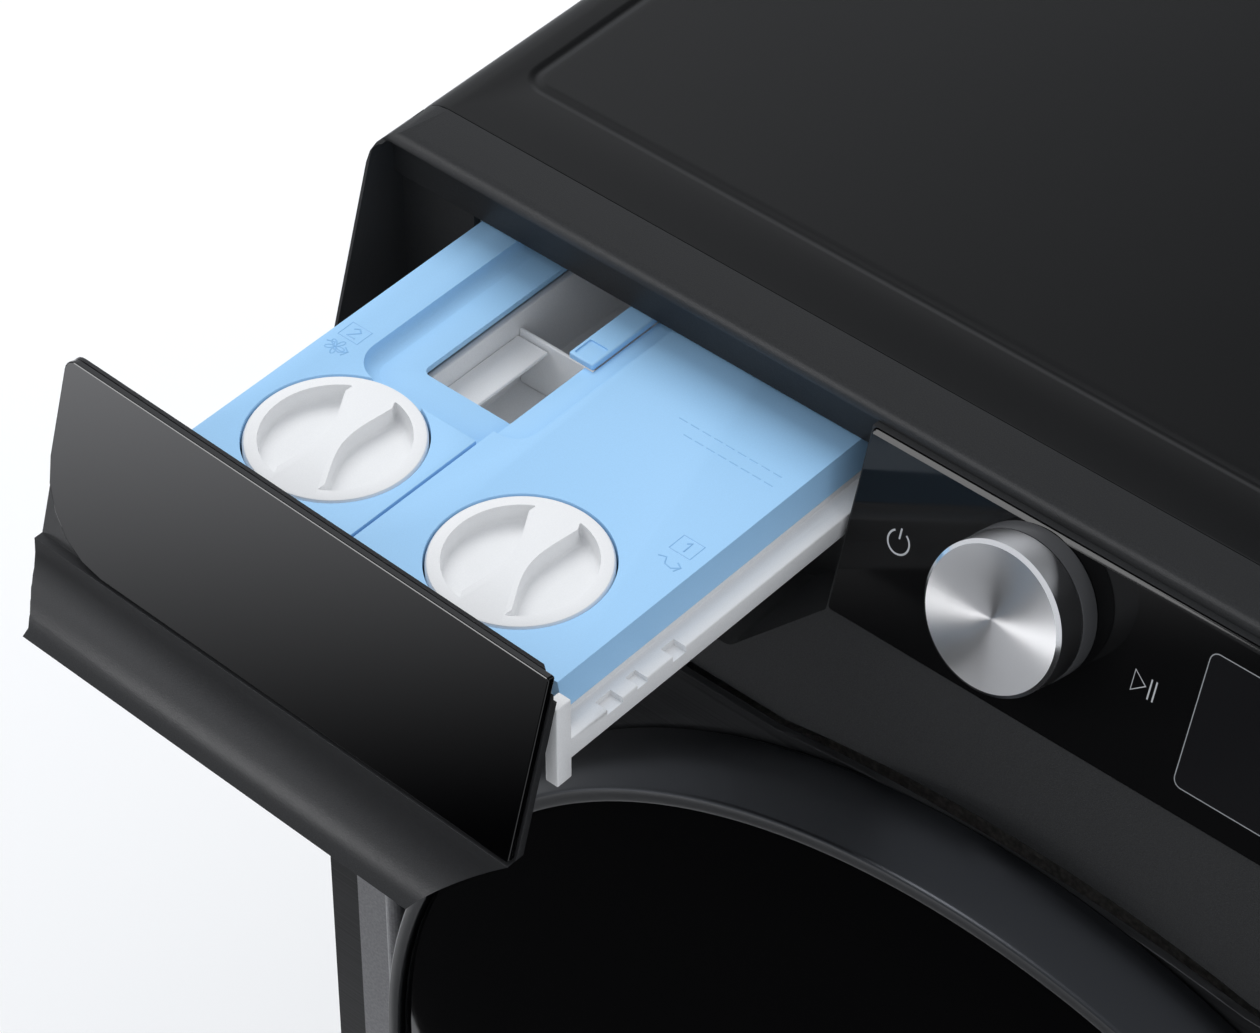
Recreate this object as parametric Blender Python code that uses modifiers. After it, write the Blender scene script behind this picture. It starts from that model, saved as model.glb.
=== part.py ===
"""Front load washing machine with an automatic dispenser drawer, drawn with the drawer pulled out.

Metres, +Z up, the front faces -Y. The origin is under the middle of the machine's box, on the floor.
Distances called "forward" are measured from the seam between worktop and fascia towards the front,
so a negative one lies behind that seam.
"""
import math

import bmesh
import bpy
from mathutils import Matrix, Vector

# ---- driving dimensions -------------------------------------------------------------------------
WIDTH = 0.600                 # cabinet, side to side
HEIGHT = 0.850                # floor to worktop
BODY_DEPTH = 0.500            # worktop seam to the back
PANEL_REACH = 0.061           # worktop seam to the face of the front panel
FOOT_HEIGHT = 0.018           # floor to the underside of the cabinet
GAP = 0.0003                  # between pieces that touch
SHEET = 0.0012                # folded sheet steel
CORNER = 0.014                # rounding of the worktop's and fascia's side edges

TOP_SKIN = 0.0015             # worktop sheet
TOP_SKIRT = 0.0245            # how far the worktop's edge turns down
GROOVE_INSET = 0.0224         # worktop edge to the middle of its pressed groove
GROOVE_WIDTH = 0.0030
GROOVE_DEPTH = 0.0008

FASCIA_NOSE = 0.0205          # seam to the fascia's top front edge
FASCIA_REAR_WALL = 0.007      # seam to the back of the wall around the drawer
FASCIA_BAY_WALL = 0.003       # thickness of that wall
SLOPE_TOP_FORWARD = 0.024     # top edge of the sloping control face
SLOPE_TOP_Z = HEIGHT - 0.0055
SLOPE = math.radians(17.3)    # lean of the control face from upright
SEAM_Z = 0.7375               # fascia to front panel seam, left and right
SEAM_RISE = 0.007             # hump of that seam over the door
SEAM_HUMP = 0.092             # half its width

GLASS_LEFT = -0.0865          # control glass, left end
GLASS_RIGHT = 0.292
GLASS_DROP = 0.066            # its height along the slope
GLASS_THICK = 0.004
DIAL_X = -0.0185
DIAL_DROP = 0.026             # dial axis below the glass's top edge, along the slope
DIAL_RADIUS = 0.0253
DIAL_BASE = 0.0075            # height of the fixed ring under the dial
DIAL_HEIGHT = 0.0200          # glass to the dial's face
DISPLAY_LEFT = 0.0455
DISPLAY_RIGHT = 0.2205
DISPLAY_TOP = 0.0085          # below the glass's top edge
DISPLAY_DROP = 0.048

DRAWER_PULL = 0.146           # how far the drawer stands out of its closed place
DRAWER_LEFT = -0.2980
DRAWER_RIGHT = -0.0882
DRAWER_BOW = 0.030            # how much the drawer's face falls back per metre to the left
LIP_REACH = 0.0594            # seam to the lip's edge when the drawer is shut
LIP_DROP = 0.0290             # the lip's height below the drawer's glass
DRAWER_GLASS = 0.003          # its thickness
DRAWER_SKIN = 0.0025          # wall of the carrier behind it
DRAWER_TOP_Z = HEIGHT - 0.0065
DRAWER_REAR = 0.0196          # seam to the back of the carrier's top strip when shut
HEADER_FRONT = 0.0138         # seam to the front of the wall above the bay
COVER_TOP = 0.8245            # top of the blue covers
COVER_SKIRT = 0.0105
COVER_LEFT = -0.2602
COVER_RIGHT = -0.0973
COVER_SPLIT = -0.1890         # seam between the two covers
WELL_LEFT = -0.2285           # the open detergent compartment
WELL_FRONT = DRAWER_PULL - 0.070    # forward of the seam, with the drawer pulled out
TRAY_FLOOR = 0.782
TRAY_WALL = 0.0025
RAIL_LEFT = -0.2635
RAIL_RIGHT = -0.0890
TRAY_REAR = 0.271 - DRAWER_PULL     # behind the seam, with the drawer pulled out
CAP_RADIUS = 0.0293
CAP_LEFT_AT = (-0.2236, DRAWER_PULL - 0.025)
CAP_RIGHT_AT = (-0.1428, DRAWER_PULL - 0.022)
TAB_AT = DRAWER_PULL - 0.107  # forward of the seam
COVER_CLEAR = 0.0012          # between the closed drawer's covers and the bay's header
PROUD = 0.0004                # caps and tab above the covers
CAP_BAR_TURN = 102.0          # degrees from across the machine to the caps' grip bars

DOOR_Z = 0.492                # height of the door's and the drum's axis
RING_RADIUS = 0.256
RING_DEPTH = 0.026            # how far the door stands off the front panel
DOOR_GLASS_RADIUS = RING_RADIUS - 0.0138
DOOR_FLANGE = RING_RADIUS - 0.0315      # where the ring meets the door's rear frame
PORT_RADIUS = 0.1505          # inside of the door's rear frame
PANEL_HOLE = 0.170
HINGE_X = -RING_RADIUS - 0.0058
HINGE_FORWARD = 0.0665
HINGE_KNUCKLE = 0.0035
HOOK_X = PANEL_HOLE + 0.022

TUB_RADIUS = 0.245
TUB_WALL = 0.003
TUB_FRONT = 0.010             # behind the seam
TUB_SPLIT = 0.200
TUB_REAR = 0.405
MOUTH_RADIUS = 0.155
DRUM_RADIUS = 0.232
DRUM_SHEET = 0.001
DRUM_FRONT = 0.024
DRUM_REAR = 0.385
SHAFT_RADIUS = 0.0147
PULLEY_RADIUS = 0.138
PULLEY_Y = 0.445              # middle of the belt, behind the seam
MOTOR_Z = 0.135
MOTOR_RADIUS = 0.070
MOTOR_PULLEY_RADIUS = 0.0110
BELT_WIDTH = 0.010
BELT_THICK = 0.003

FOOT_X = 0.260
FOOT_FRONT = 0.020            # forward of the seam
FOOT_REAR = 0.460             # behind the seam
FLAP_X = 0.215
FLAP_Z = 0.085
FLAP_SIZE = (0.100, 0.090)
VALVE_REACH = 0.512           # seam to the ends of the water inlets
VALVE_X = (0.190, 0.235)
VALVE_Z = 0.800

# The box is as long as the pulled-out lip and the water inlets make it, and the origin is its middle.
SEAM_Y = (LIP_REACH + DRAWER_PULL - VALVE_REACH) / 2
HALF = WIDTH / 2
BASE_Z = FOOT_HEIGHT
TAN = math.tan(SLOPE)
FLAT = math.radians(0.2)      # faces that meet at less than this are one flat face


def y_at(forward):
    """World Y of a distance forward of the worktop seam."""
    return SEAM_Y - forward


# ---- collections and materials ------------------------------------------------------------------
for old in list(bpy.data.objects):
    bpy.data.objects.remove(old, do_unlink=True)
PARTS = bpy.data.collections.new("washing_machine")
CUTTERS = bpy.data.collections.new("cutters")
bpy.context.scene.collection.children.link(PARTS)
bpy.context.scene.collection.children.link(CUTTERS)


def material(name, colour, roughness, metallic=0.0):
    made = bpy.data.materials.new(name)
    made.use_nodes = True
    shader = made.node_tree.nodes["Principled BSDF"]
    shader.inputs["Base Color"].default_value = (*colour, 1.0)
    shader.inputs["Roughness"].default_value = roughness
    shader.inputs["Metallic"].default_value = metallic
    made.diffuse_color = (*colour, 1.0)
    return made


# ---- shapes -------------------------------------------------------------------------------------
def finish_object(name, mesh, colour, roughness, metallic=0.0):
    made = bpy.data.objects.new(name, mesh)
    PARTS.objects.link(made)
    mesh.materials.clear()
    mesh.materials.append(material(name + "_finish", colour, roughness, metallic))
    return made


def box(name, low, high, look):
    """A block between two corners."""
    mesh = bpy.data.meshes.new(name)
    shape = bmesh.new()
    bmesh.ops.create_cube(shape, size=1.0)
    size = Vector(high) - Vector(low)
    middle = (Vector(high) + Vector(low)) / 2
    bmesh.ops.scale(shape, vec=size, verts=shape.verts)
    bmesh.ops.translate(shape, vec=middle, verts=shape.verts)
    shape.to_mesh(mesh)
    shape.free()
    return finish_object(name, mesh, *look)


def cylinder(name, start, end, radius, look, sides=24):
    """A round bar between two points."""
    start, end = Vector(start), Vector(end)
    mesh = bpy.data.meshes.new(name)
    shape = bmesh.new()
    bmesh.ops.create_cone(shape, cap_ends=True, segments=sides, radius1=radius, radius2=radius,
                          depth=(end - start).length)
    turn = (end - start).to_track_quat("Z", "Y").to_matrix().to_4x4()
    bmesh.ops.transform(shape, matrix=Matrix.Translation((start + end) / 2) @ turn, verts=shape.verts)
    shape.to_mesh(mesh)
    shape.free()
    made = finish_object(name, mesh, *look)
    smooth(made)
    return made


def smooth(made):
    made.data.shade_smooth()
    made.data.set_sharp_from_angle(angle=math.radians(32))


FACING_FRONT = Matrix.Rotation(math.radians(90), 4, "X")
FACING_UP = Matrix.Identity(4)
ON_SLOPE = Matrix.Rotation(math.radians(90) - SLOPE, 4, "X")


def turned(name, profile, centre, look, steps=48, facing=FACING_FRONT, closed=True):
    """A profile of (radius, height) points turned about the axis through centre."""
    mesh = bpy.data.meshes.new(name)
    count = len(profile)
    edges = [(i, (i + 1) % count) for i in range(count if closed else count - 1)]
    mesh.from_pydata([(radius, 0.0, height) for radius, height in profile], edges, [])
    made = finish_object(name, mesh, *look)
    made.matrix_world = Matrix.Translation(centre) @ facing
    screw = made.modifiers.new("turned", "SCREW")
    screw.steps = steps
    screw.render_steps = steps
    screw.use_merge_vertices = True
    screw.merge_threshold = 0.00001
    screw.use_smooth_shade = True
    return made


def prism(name, loops, depth, place, look):
    """Flat outlines, the first one outside and the rest holes, with a thickness about their plane."""
    curve = bpy.data.curves.new(name + "_outline", "CURVE")
    curve.dimensions = "2D"
    curve.fill_mode = "BOTH"
    curve.extrude = depth / 2
    for loop in loops:
        spline = curve.splines.new("POLY")
        spline.points.add(len(loop) - 1)
        for point, (u, v) in zip(spline.points, loop):
            point.co = (u, v, 0.0, 1.0)
        spline.use_cyclic_u = True
    return mesh_of_curve(name, curve, place, look)


def tube(name, points, radius, look, cyclic=False, resolution=2):
    """A round wire or hose along points."""
    curve = bpy.data.curves.new(name + "_path", "CURVE")
    curve.dimensions = "3D"
    curve.bevel_depth = radius
    curve.bevel_resolution = resolution
    curve.use_fill_caps = True
    spline = curve.splines.new("POLY")
    spline.points.add(len(points) - 1)
    for point, place in zip(spline.points, points):
        point.co = (*place, 1.0)
    spline.use_cyclic_u = cyclic
    made = mesh_of_curve(name, curve, Matrix.Identity(4), look)
    smooth(made)
    return made


def mesh_of_curve(name, curve, place, look):
    holder = bpy.data.objects.new(name + "_curve", curve)
    CUTTERS.objects.link(holder)
    bpy.context.view_layer.update()
    mesh = bpy.data.meshes.new_from_object(holder.evaluated_get(bpy.context.evaluated_depsgraph_get()))
    shape = bmesh.new()
    shape.from_mesh(mesh)
    bmesh.ops.remove_doubles(shape, verts=shape.verts, dist=0.000001)
    bmesh.ops.dissolve_limit(shape, angle_limit=FLAT, verts=shape.verts, edges=shape.edges)
    bmesh.ops.recalc_face_normals(shape, faces=shape.faces)
    shape.to_mesh(mesh)
    shape.free()
    mesh.transform(place)
    bpy.data.objects.remove(holder, do_unlink=True)
    return finish_object(name, mesh, *look)


def guide(made):
    """Moves a shape that only cuts or joins another out of the parts."""
    PARTS.objects.unlink(made)
    CUTTERS.objects.link(made)
    made.hide_render = True
    made.display_type = "WIRE"
    return made


def combine(target, operation, tools):
    for tool in tools:
        guide(tool)
        step = target.modifiers.new(operation.lower() + "_" + tool.name, "BOOLEAN")
        step.operation = operation
        step.object = tool
        step.solver = "EXACT"
    return target


def cut(target, *tools):
    return combine(target, "DIFFERENCE", tools)


def join(target, *tools):
    return combine(target, "UNION", tools)


def keep_inside(target, *tools):
    return combine(target, "INTERSECT", tools)


# Planes that outlines are drawn on: X and Z seen from the front, forward and Z seen from the side,
# X and Y from above, and X and up-slope on the control face.
def front_plane(forward):
    return Matrix.Translation((0, y_at(forward), 0)) @ FACING_FRONT


def side_plane(x):
    axes = Matrix(((0, 0, -1), (-1, 0, 0), (0, 1, 0))).to_4x4()
    return Matrix.Translation((x, SEAM_Y, 0)) @ axes


def top_plane(z):
    return Matrix.Translation((0, 0, z))


def slope_plane(height, pulled=0.0):
    """The control face's plane, height above the glass, moved forward by pulled."""
    start = Matrix.Translation((0, y_at(SLOPE_TOP_FORWARD + pulled), SLOPE_TOP_Z))
    return start @ ON_SLOPE @ Matrix.Translation((0, 0, height))


def slope_forward(z, behind=0.0):
    """Forward distance of the control face at a height, less a thickness square to it."""
    return SLOPE_TOP_FORWARD + (SLOPE_TOP_Z - z) * TAN - behind / math.cos(SLOPE)


def arc(centre, radius, start, end, steps):
    """Points from one angle to another, in degrees."""
    turns = [math.radians(start + (end - start) * i / steps) for i in range(steps + 1)]
    return [(centre[0] + radius * math.cos(t), centre[1] + radius * math.sin(t)) for t in turns]


def circle(centre, radius, steps=32):
    return arc(centre, radius, 0, 360, steps)[:-1]


def rectangle(low, high, radii=(0, 0, 0, 0), steps=4):
    """A rectangle with its own radius at lower left, lower right, upper right and upper left."""
    corners = [(low[0], low[1], 1, 1, 180), (high[0], low[1], -1, 1, 270),
               (high[0], high[1], -1, -1, 0), (low[0], high[1], 1, -1, 90)]
    points = []
    for (u, v, du, dv, angle), radius in zip(corners, radii):
        if radius:
            points += arc((u + du * radius, v + dv * radius), radius, angle, angle + 90, steps)
        else:
            points.append((u, v))
    return points


def pivot(name, place):
    """An empty on a joint's axis, which carries the pieces that move."""
    empty = bpy.data.objects.new(name, None)
    PARTS.objects.link(empty)
    empty.location = place
    empty.empty_display_size = 0.02
    return empty


def carry(empty, *pieces):
    bpy.context.view_layer.update()
    for piece in pieces:
        piece.parent = empty
        piece.matrix_parent_inverse = empty.matrix_world.inverted()


# ---- finishes: colour, roughness, metallic ------------------------------------------------------
BLACK_STEEL = ((0.020, 0.021, 0.022), 0.42)
BRUSHED_BLACK = ((0.024, 0.025, 0.027), 0.38, 0.4)
BLACK_PLASTIC = ((0.014, 0.014, 0.015), 0.50)
GLOSS_BLACK = ((0.004, 0.004, 0.004), 0.08)
BLUE_PLASTIC = ((0.355, 0.640, 0.930), 0.38)
WHITE_PLASTIC = ((0.820, 0.825, 0.830), 0.35)
GREY_PLASTIC = ((0.420, 0.430, 0.440), 0.50)
BRUSHED_METAL = ((0.600, 0.600, 0.610), 0.28, 1.0)
STAINLESS = ((0.560, 0.560, 0.570), 0.25, 1.0)
GALVANISED = ((0.450, 0.460, 0.470), 0.45, 0.8)
CAST_METAL = ((0.380, 0.380, 0.390), 0.55, 0.8)
RUBBER = ((0.120, 0.122, 0.125), 0.75)
CONCRETE = ((0.380, 0.370, 0.350), 0.90)
TINTED_GLASS = ((0.030, 0.031, 0.033), 0.05)
CIRCUIT_GREEN = ((0.020, 0.120, 0.060), 0.50)


# ---- casing -------------------------------------------------------------------------------------
def make_worktop():
    """Pressed sheet top with a turned-down edge, open underneath, and a shallow groove all round."""
    low_z = HEIGHT - TOP_SKIRT
    outside = rectangle((-HALF, low_z), (HALF, HEIGHT), (0, 0, CORNER, CORNER), 5)
    made = prism("worktop", [outside], BODY_DEPTH, front_plane(-BODY_DEPTH / 2), BLACK_STEEL)
    inside = rectangle((-HALF + TOP_SKIN, low_z - 0.01), (HALF - TOP_SKIN, HEIGHT - TOP_SKIN),
                       (0, 0, CORNER - TOP_SKIN, CORNER - TOP_SKIN), 5)
    hollow = prism("worktop_hollow", [inside], BODY_DEPTH - 2 * TOP_SKIN,
                   front_plane(-BODY_DEPTH / 2), BLACK_STEEL)
    mouth = box("worktop_mouth", (-HALF + CORNER, y_at(0.01), low_z - 0.01),
                (HALF - CORNER, y_at(-2 * TOP_SKIN), HEIGHT - 0.006), BLACK_STEEL)
    reach = GROOVE_WIDTH / 2
    outer = rectangle((-HALF + GROOVE_INSET - reach, y_at(-0.0278 + reach)),
                      (HALF - GROOVE_INSET + reach, y_at(-BODY_DEPTH + 0.0278 - reach)), [0.009] * 4)
    inner = rectangle((-HALF + GROOVE_INSET + reach, y_at(-0.0278 - reach)),
                      (HALF - GROOVE_INSET - reach, y_at(-BODY_DEPTH + 0.0278 + reach)), [0.006] * 4)
    groove = prism("worktop_groove", [outer, inner], 2 * GROOVE_DEPTH, top_plane(HEIGHT), BLACK_STEEL)
    return cut(made, hollow, mouth, groove)


def make_cabinet():
    """Left and right sides with their rear flanges, tied by a cross rail at the back and below."""
    front, back = 0.045, BODY_DEPTH - 0.0015
    top_z = HEIGHT - TOP_SKIRT - GAP
    made = box("cabinet", (-HALF, y_at(front), BASE_Z), (HALF, y_at(-back), top_z), BLACK_STEEL)
    room = box("cabinet_room", (-HALF + SHEET, y_at(front + 0.01), BASE_Z - 0.01),
               (HALF - SHEET, y_at(-back + SHEET), top_z + 0.01), BLACK_STEEL)
    window = box("cabinet_window", (-HALF + 0.020, y_at(-back + 0.02), BASE_Z + 0.060),
                 (HALF - 0.020, y_at(-back - 0.02), top_z - 0.009), BLACK_STEEL)
    step = box("cabinet_step", (-HALF - 0.01, y_at(front + 0.01), SEAM_Z - 0.0006),
               (HALF + 0.01, y_at(-0.0006), top_z + 0.01), BLACK_STEEL)
    return cut(made, room, window, step)


def seam_curve(drop):
    """The fascia's lower edge from right to left: level, then a low hump over the door."""
    radius = (SEAM_HUMP ** 2 + SEAM_RISE ** 2) / (2 * SEAM_RISE)
    half = math.degrees(math.asin(SEAM_HUMP / radius))
    hump = arc((0, SEAM_Z + SEAM_RISE - radius), radius, 90 - half, 90 + half, 14)
    line = [(HALF, SEAM_Z)] + hump + [(-HALF, SEAM_Z)]
    return [(x, z - drop) for x, z in line]


def make_front_panel():
    """Brushed front sheet with folded sides and holes for the door, latch, filter flap and fixings."""
    low_z = BASE_Z
    outside = [(-HALF, low_z), (HALF, low_z)] + seam_curve(0.0007)
    latch = rectangle((HOOK_X - 0.008, DOOR_Z - 0.017), (HOOK_X + 0.010, DOOR_Z + 0.017))
    half_x, half_z = FLAP_SIZE[0] / 2, FLAP_SIZE[1] / 2
    flap = rectangle((FLAP_X - half_x, FLAP_Z - half_z), (FLAP_X + half_x, FLAP_Z + half_z))
    thick = 0.0030
    made = prism("front_panel", [outside, circle((0, DOOR_Z), PANEL_HOLE, 48), latch, flap], thick,
                 front_plane(PANEL_REACH - thick / 2), BRUSHED_BLACK)
    sides = [box("panel_side_%s" % end, (min(x, x - s * SHEET), y_at(PANEL_REACH - 0.001), low_z),
                 (max(x, x - s * SHEET), y_at(0.0455), SEAM_Z - 0.0012), BRUSHED_BLACK)
             for end, x, s in (("left", -HALF, -1), ("right", HALF, 1))]
    return join(made, *sides)


def make_fascia():
    """One moulding: top strip, the drawer's bay on the left and the sloping control face."""
    foot_z = SEAM_Z - 0.02
    side = [(GAP, HEIGHT)]
    side += arc((FASCIA_NOSE - 0.004, HEIGHT - 0.004), 0.004, 90, 0, 4)
    side += [(FASCIA_NOSE, SLOPE_TOP_Z), (slope_forward(SLOPE_TOP_Z, 0.001), SLOPE_TOP_Z),
             (slope_forward(foot_z, 0.001), foot_z), (GAP, foot_z)]
    made = prism("fascia", [side], WIDTH, side_plane(0), BLACK_PLASTIC)
    face = arc((-HALF + CORNER, HEIGHT - CORNER), CORNER, 90, 180, 5) + seam_curve(0)[::-1]
    face += arc((HALF - CORNER, HEIGHT - CORNER), CORNER, 0, 90, 5)
    keep_inside(made, prism("fascia_face", [face], 0.20, front_plane(0), BLACK_PLASTIC))
    wall = 0.003
    back = box("fascia_back", (-HALF + wall, y_at(FASCIA_REAR_WALL), foot_z - 0.02),
               (HALF - wall, y_at(-0.02), HEIGHT - wall), BLACK_PLASTIC)
    skin = GLASS_THICK + wall
    inner = [(0, HEIGHT - wall), (slope_forward(HEIGHT - wall, skin), HEIGHT - wall),
             (slope_forward(foot_z - 0.02, skin), foot_z - 0.02), (0, foot_z - 0.02)]
    bay_side = DRAWER_RIGHT + 0.0008
    room_left = bay_side + wall
    room = prism("fascia_room", [inner], HALF - wall - room_left,
                 side_plane((HALF - wall + room_left) / 2), BLACK_PLASTIC)
    bay_wall = FASCIA_REAR_WALL + FASCIA_BAY_WALL
    lip_z = drawer_lip_z() - 0.0025
    bay = bay_outline(0.0008, lip_z, HEIGHT - 0.0052)
    lower = [(x, min(z, COVER_TOP + COVER_CLEAR)) for x, z in bay]
    pocket = prism("fascia_pocket", [lower], 0.10, front_plane(bay_wall + 0.05), BLACK_PLASTIC)
    header = prism("fascia_header", [bay], 0.10, front_plane(HEADER_FRONT + 0.05), BLACK_PLASTIC)
    door = box("fascia_aperture", (RAIL_LEFT - 0.003, y_at(bay_wall + 0.01), TRAY_FLOOR - 0.003),
               (RAIL_RIGHT + 0.0007, y_at(0), COVER_TOP + COVER_CLEAR), BLACK_PLASTIC)
    glass = glass_outline(GAP)
    seat = prism("fascia_glass_seat", [glass], 0.05, slope_plane(0.025 - GLASS_THICK - GAP),
                 BLACK_PLASTIC)
    hole = turned("fascia_dial_hole", [(0, 0.01), (0.0056, 0.01), (0.0056, -0.03), (0, -0.03)],
                  dial_place(), BLACK_PLASTIC, 16, ON_SLOPE, closed=False)
    return cut(made, back, room, pocket, header, door, seat, hole)


def make_base_tray():
    """Shallow sheet pan under the machine, bored for the feet."""
    back = BODY_DEPTH - 0.004
    made = box("base_tray", (-HALF + 0.0018, y_at(PANEL_REACH - 0.0036), BASE_Z),
               (HALF - 0.0018, y_at(-back), BASE_Z + 0.027), GALVANISED)
    wall = 0.0015
    hollow = box("base_hollow",
                 (-HALF + 0.0018 + wall, y_at(PANEL_REACH - 0.0036 - wall), BASE_Z + wall),
                 (HALF - 0.0018 - wall, y_at(-back + wall), BASE_Z + 0.05), GALVANISED)
    holes = [cylinder("base_hole_%d" % i, (x, y, BASE_Z - 0.01), (x, y, BASE_Z + 0.01), 0.0058,
                      GALVANISED, 16) for i, (x, y) in enumerate(foot_places())]
    return cut(made, hollow, *holes)


def foot_places():
    return [(x, y_at(f)) for f in (FOOT_FRONT, -FOOT_REAR) for x in (-FOOT_X, FOOT_X)]


def make_feet():
    names = ("foot_front_left", "foot_front_right", "foot_rear_left", "foot_rear_right")
    pad = FOOT_HEIGHT - 0.006
    profile = [(0, 0.040), (0.005, 0.040), (0.005, pad), (0.012, pad), (0.020, 0.004), (0.020, 0), (0, 0)]
    for name, (x, y) in zip(names, foot_places()):
        turned(name, profile, (x, y, 0), RUBBER, 16, FACING_UP, closed=False)


def make_rear_panel():
    """Flat back sheet, pierced for the water inlets and the mains lead."""
    low, high = (-HALF + 0.0015, BASE_Z), (HALF - 0.0015, HEIGHT - TOP_SKIRT - 0.0006)
    ports = [circle((x, VALVE_Z), 0.0140, 20) for x in VALVE_X]
    lead = [circle((-0.220, 0.120), 0.0095, 20)]
    return prism("rear_panel", [rectangle(low, high)] + ports + lead, SHEET,
                 front_plane(-BODY_DEPTH + SHEET / 2), BLACK_STEEL)


def make_cord_inlet():
    """Grommet where the mains lead enters."""
    rear = -BODY_DEPTH
    profile = [(0.013, rear + 0.0060), (0.013, rear + 0.0016), (0.0092, rear + 0.0016),
               (0.0092, rear - 0.0003), (0.013, rear - 0.0003), (0.010, rear - 0.0070),
               (0.0042, rear - 0.0070), (0.0042, rear + 0.0060)]
    turned("cord_inlet", profile, (-0.220, SEAM_Y, 0.120), RUBBER, 20)


# ---- control panel ------------------------------------------------------------------------------
def glass_outline(grow):
    return rectangle((GLASS_LEFT - grow, -GLASS_DROP - grow), (GLASS_RIGHT + grow, grow), [0.0015] * 4, 2)


def dial_place():
    return slope_plane(0) @ Vector((DIAL_X, -DIAL_DROP, 0))


def make_control_panel():
    glass = prism("control_glass", [glass_outline(0)], GLASS_THICK, slope_plane(-GLASS_THICK / 2),
                  GLOSS_BLACK)
    hole = turned("glass_dial_hole", [(0, 0.01), (0.0050, 0.01), (0.0050, -0.01), (0, -0.01)],
                  dial_place(), GLOSS_BLACK, 16, ON_SLOPE, closed=False)
    deep = 0.0012
    screen = ((DISPLAY_LEFT, -DISPLAY_TOP - DISPLAY_DROP), (DISPLAY_RIGHT, -DISPLAY_TOP))
    grown = ((screen[0][0] - GAP, screen[0][1] - GAP), (screen[1][0] + GAP, screen[1][1] + GAP))
    seat = prism("glass_display_seat", [rectangle(*grown, [0.0033] * 4, 3)], 2 * deep, slope_plane(0),
                 GLOSS_BLACK)
    cut(glass, hole, seat)
    thick = deep - GAP
    prism("display", [rectangle(*screen, [0.003] * 4, 3)], thick, slope_plane(-thick / 2), GLOSS_BLACK)
    ring = [(DIAL_RADIUS, DIAL_BASE), (DIAL_RADIUS, GAP), (0.0046, GAP), (0.0046, DIAL_BASE)]
    turned("dial_base", ring, dial_place(), GLOSS_BLACK, 48, ON_SLOPE)
    stem_end = -0.0085
    knob = [(0, DIAL_HEIGHT - 0.0005), (DIAL_RADIUS - 0.0018, DIAL_HEIGHT),
            (DIAL_RADIUS, DIAL_HEIGHT - 0.0014), (DIAL_RADIUS, DIAL_BASE + GAP),
            (0.0040, DIAL_BASE + GAP), (0.0040, stem_end), (0, stem_end)]
    turned("dial", knob, dial_place(), BRUSHED_METAL, 48, ON_SLOPE, closed=False)
    board = rectangle((GLASS_LEFT + 0.012, -GLASS_DROP + 0.008), (0.262, -0.012))
    prism("control_board", [board], 0.0016, slope_plane(-0.0100), CIRCUIT_GREEN)


# ---- dispenser drawer ---------------------------------------------------------------------------
def drawer_lip_z():
    return SLOPE_TOP_Z - GLASS_DROP * math.cos(SLOPE) - LIP_DROP


def bay_outline(grow, low_z, high_z):
    """The drawer front seen from the front: large radius lower left, cut-away corner lower right."""
    left, right = DRAWER_LEFT - grow, DRAWER_RIGHT + grow
    top, big, clip = 0.0055, 0.015, 0.030
    outline = arc((left + top, high_z - top), top, 90, 180, 5)
    outline += arc((left + big, low_z + big), big, 180, 270, 6)
    outline += arc((right - clip - 0.004, low_z + 0.006), 0.006, 270, 315, 3)
    outline += [(right, low_z + clip), (right, high_z)]
    return outline


def bowed(made):
    """The drawer's face falls back a little towards the machine's side."""
    start = DRAWER_RIGHT - 0.030
    lean = Matrix.Identity(4)
    lean[1][0] = -DRAWER_BOW
    lean[1][3] = DRAWER_BOW * start
    made.data.transform(lean)
    return made


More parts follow.
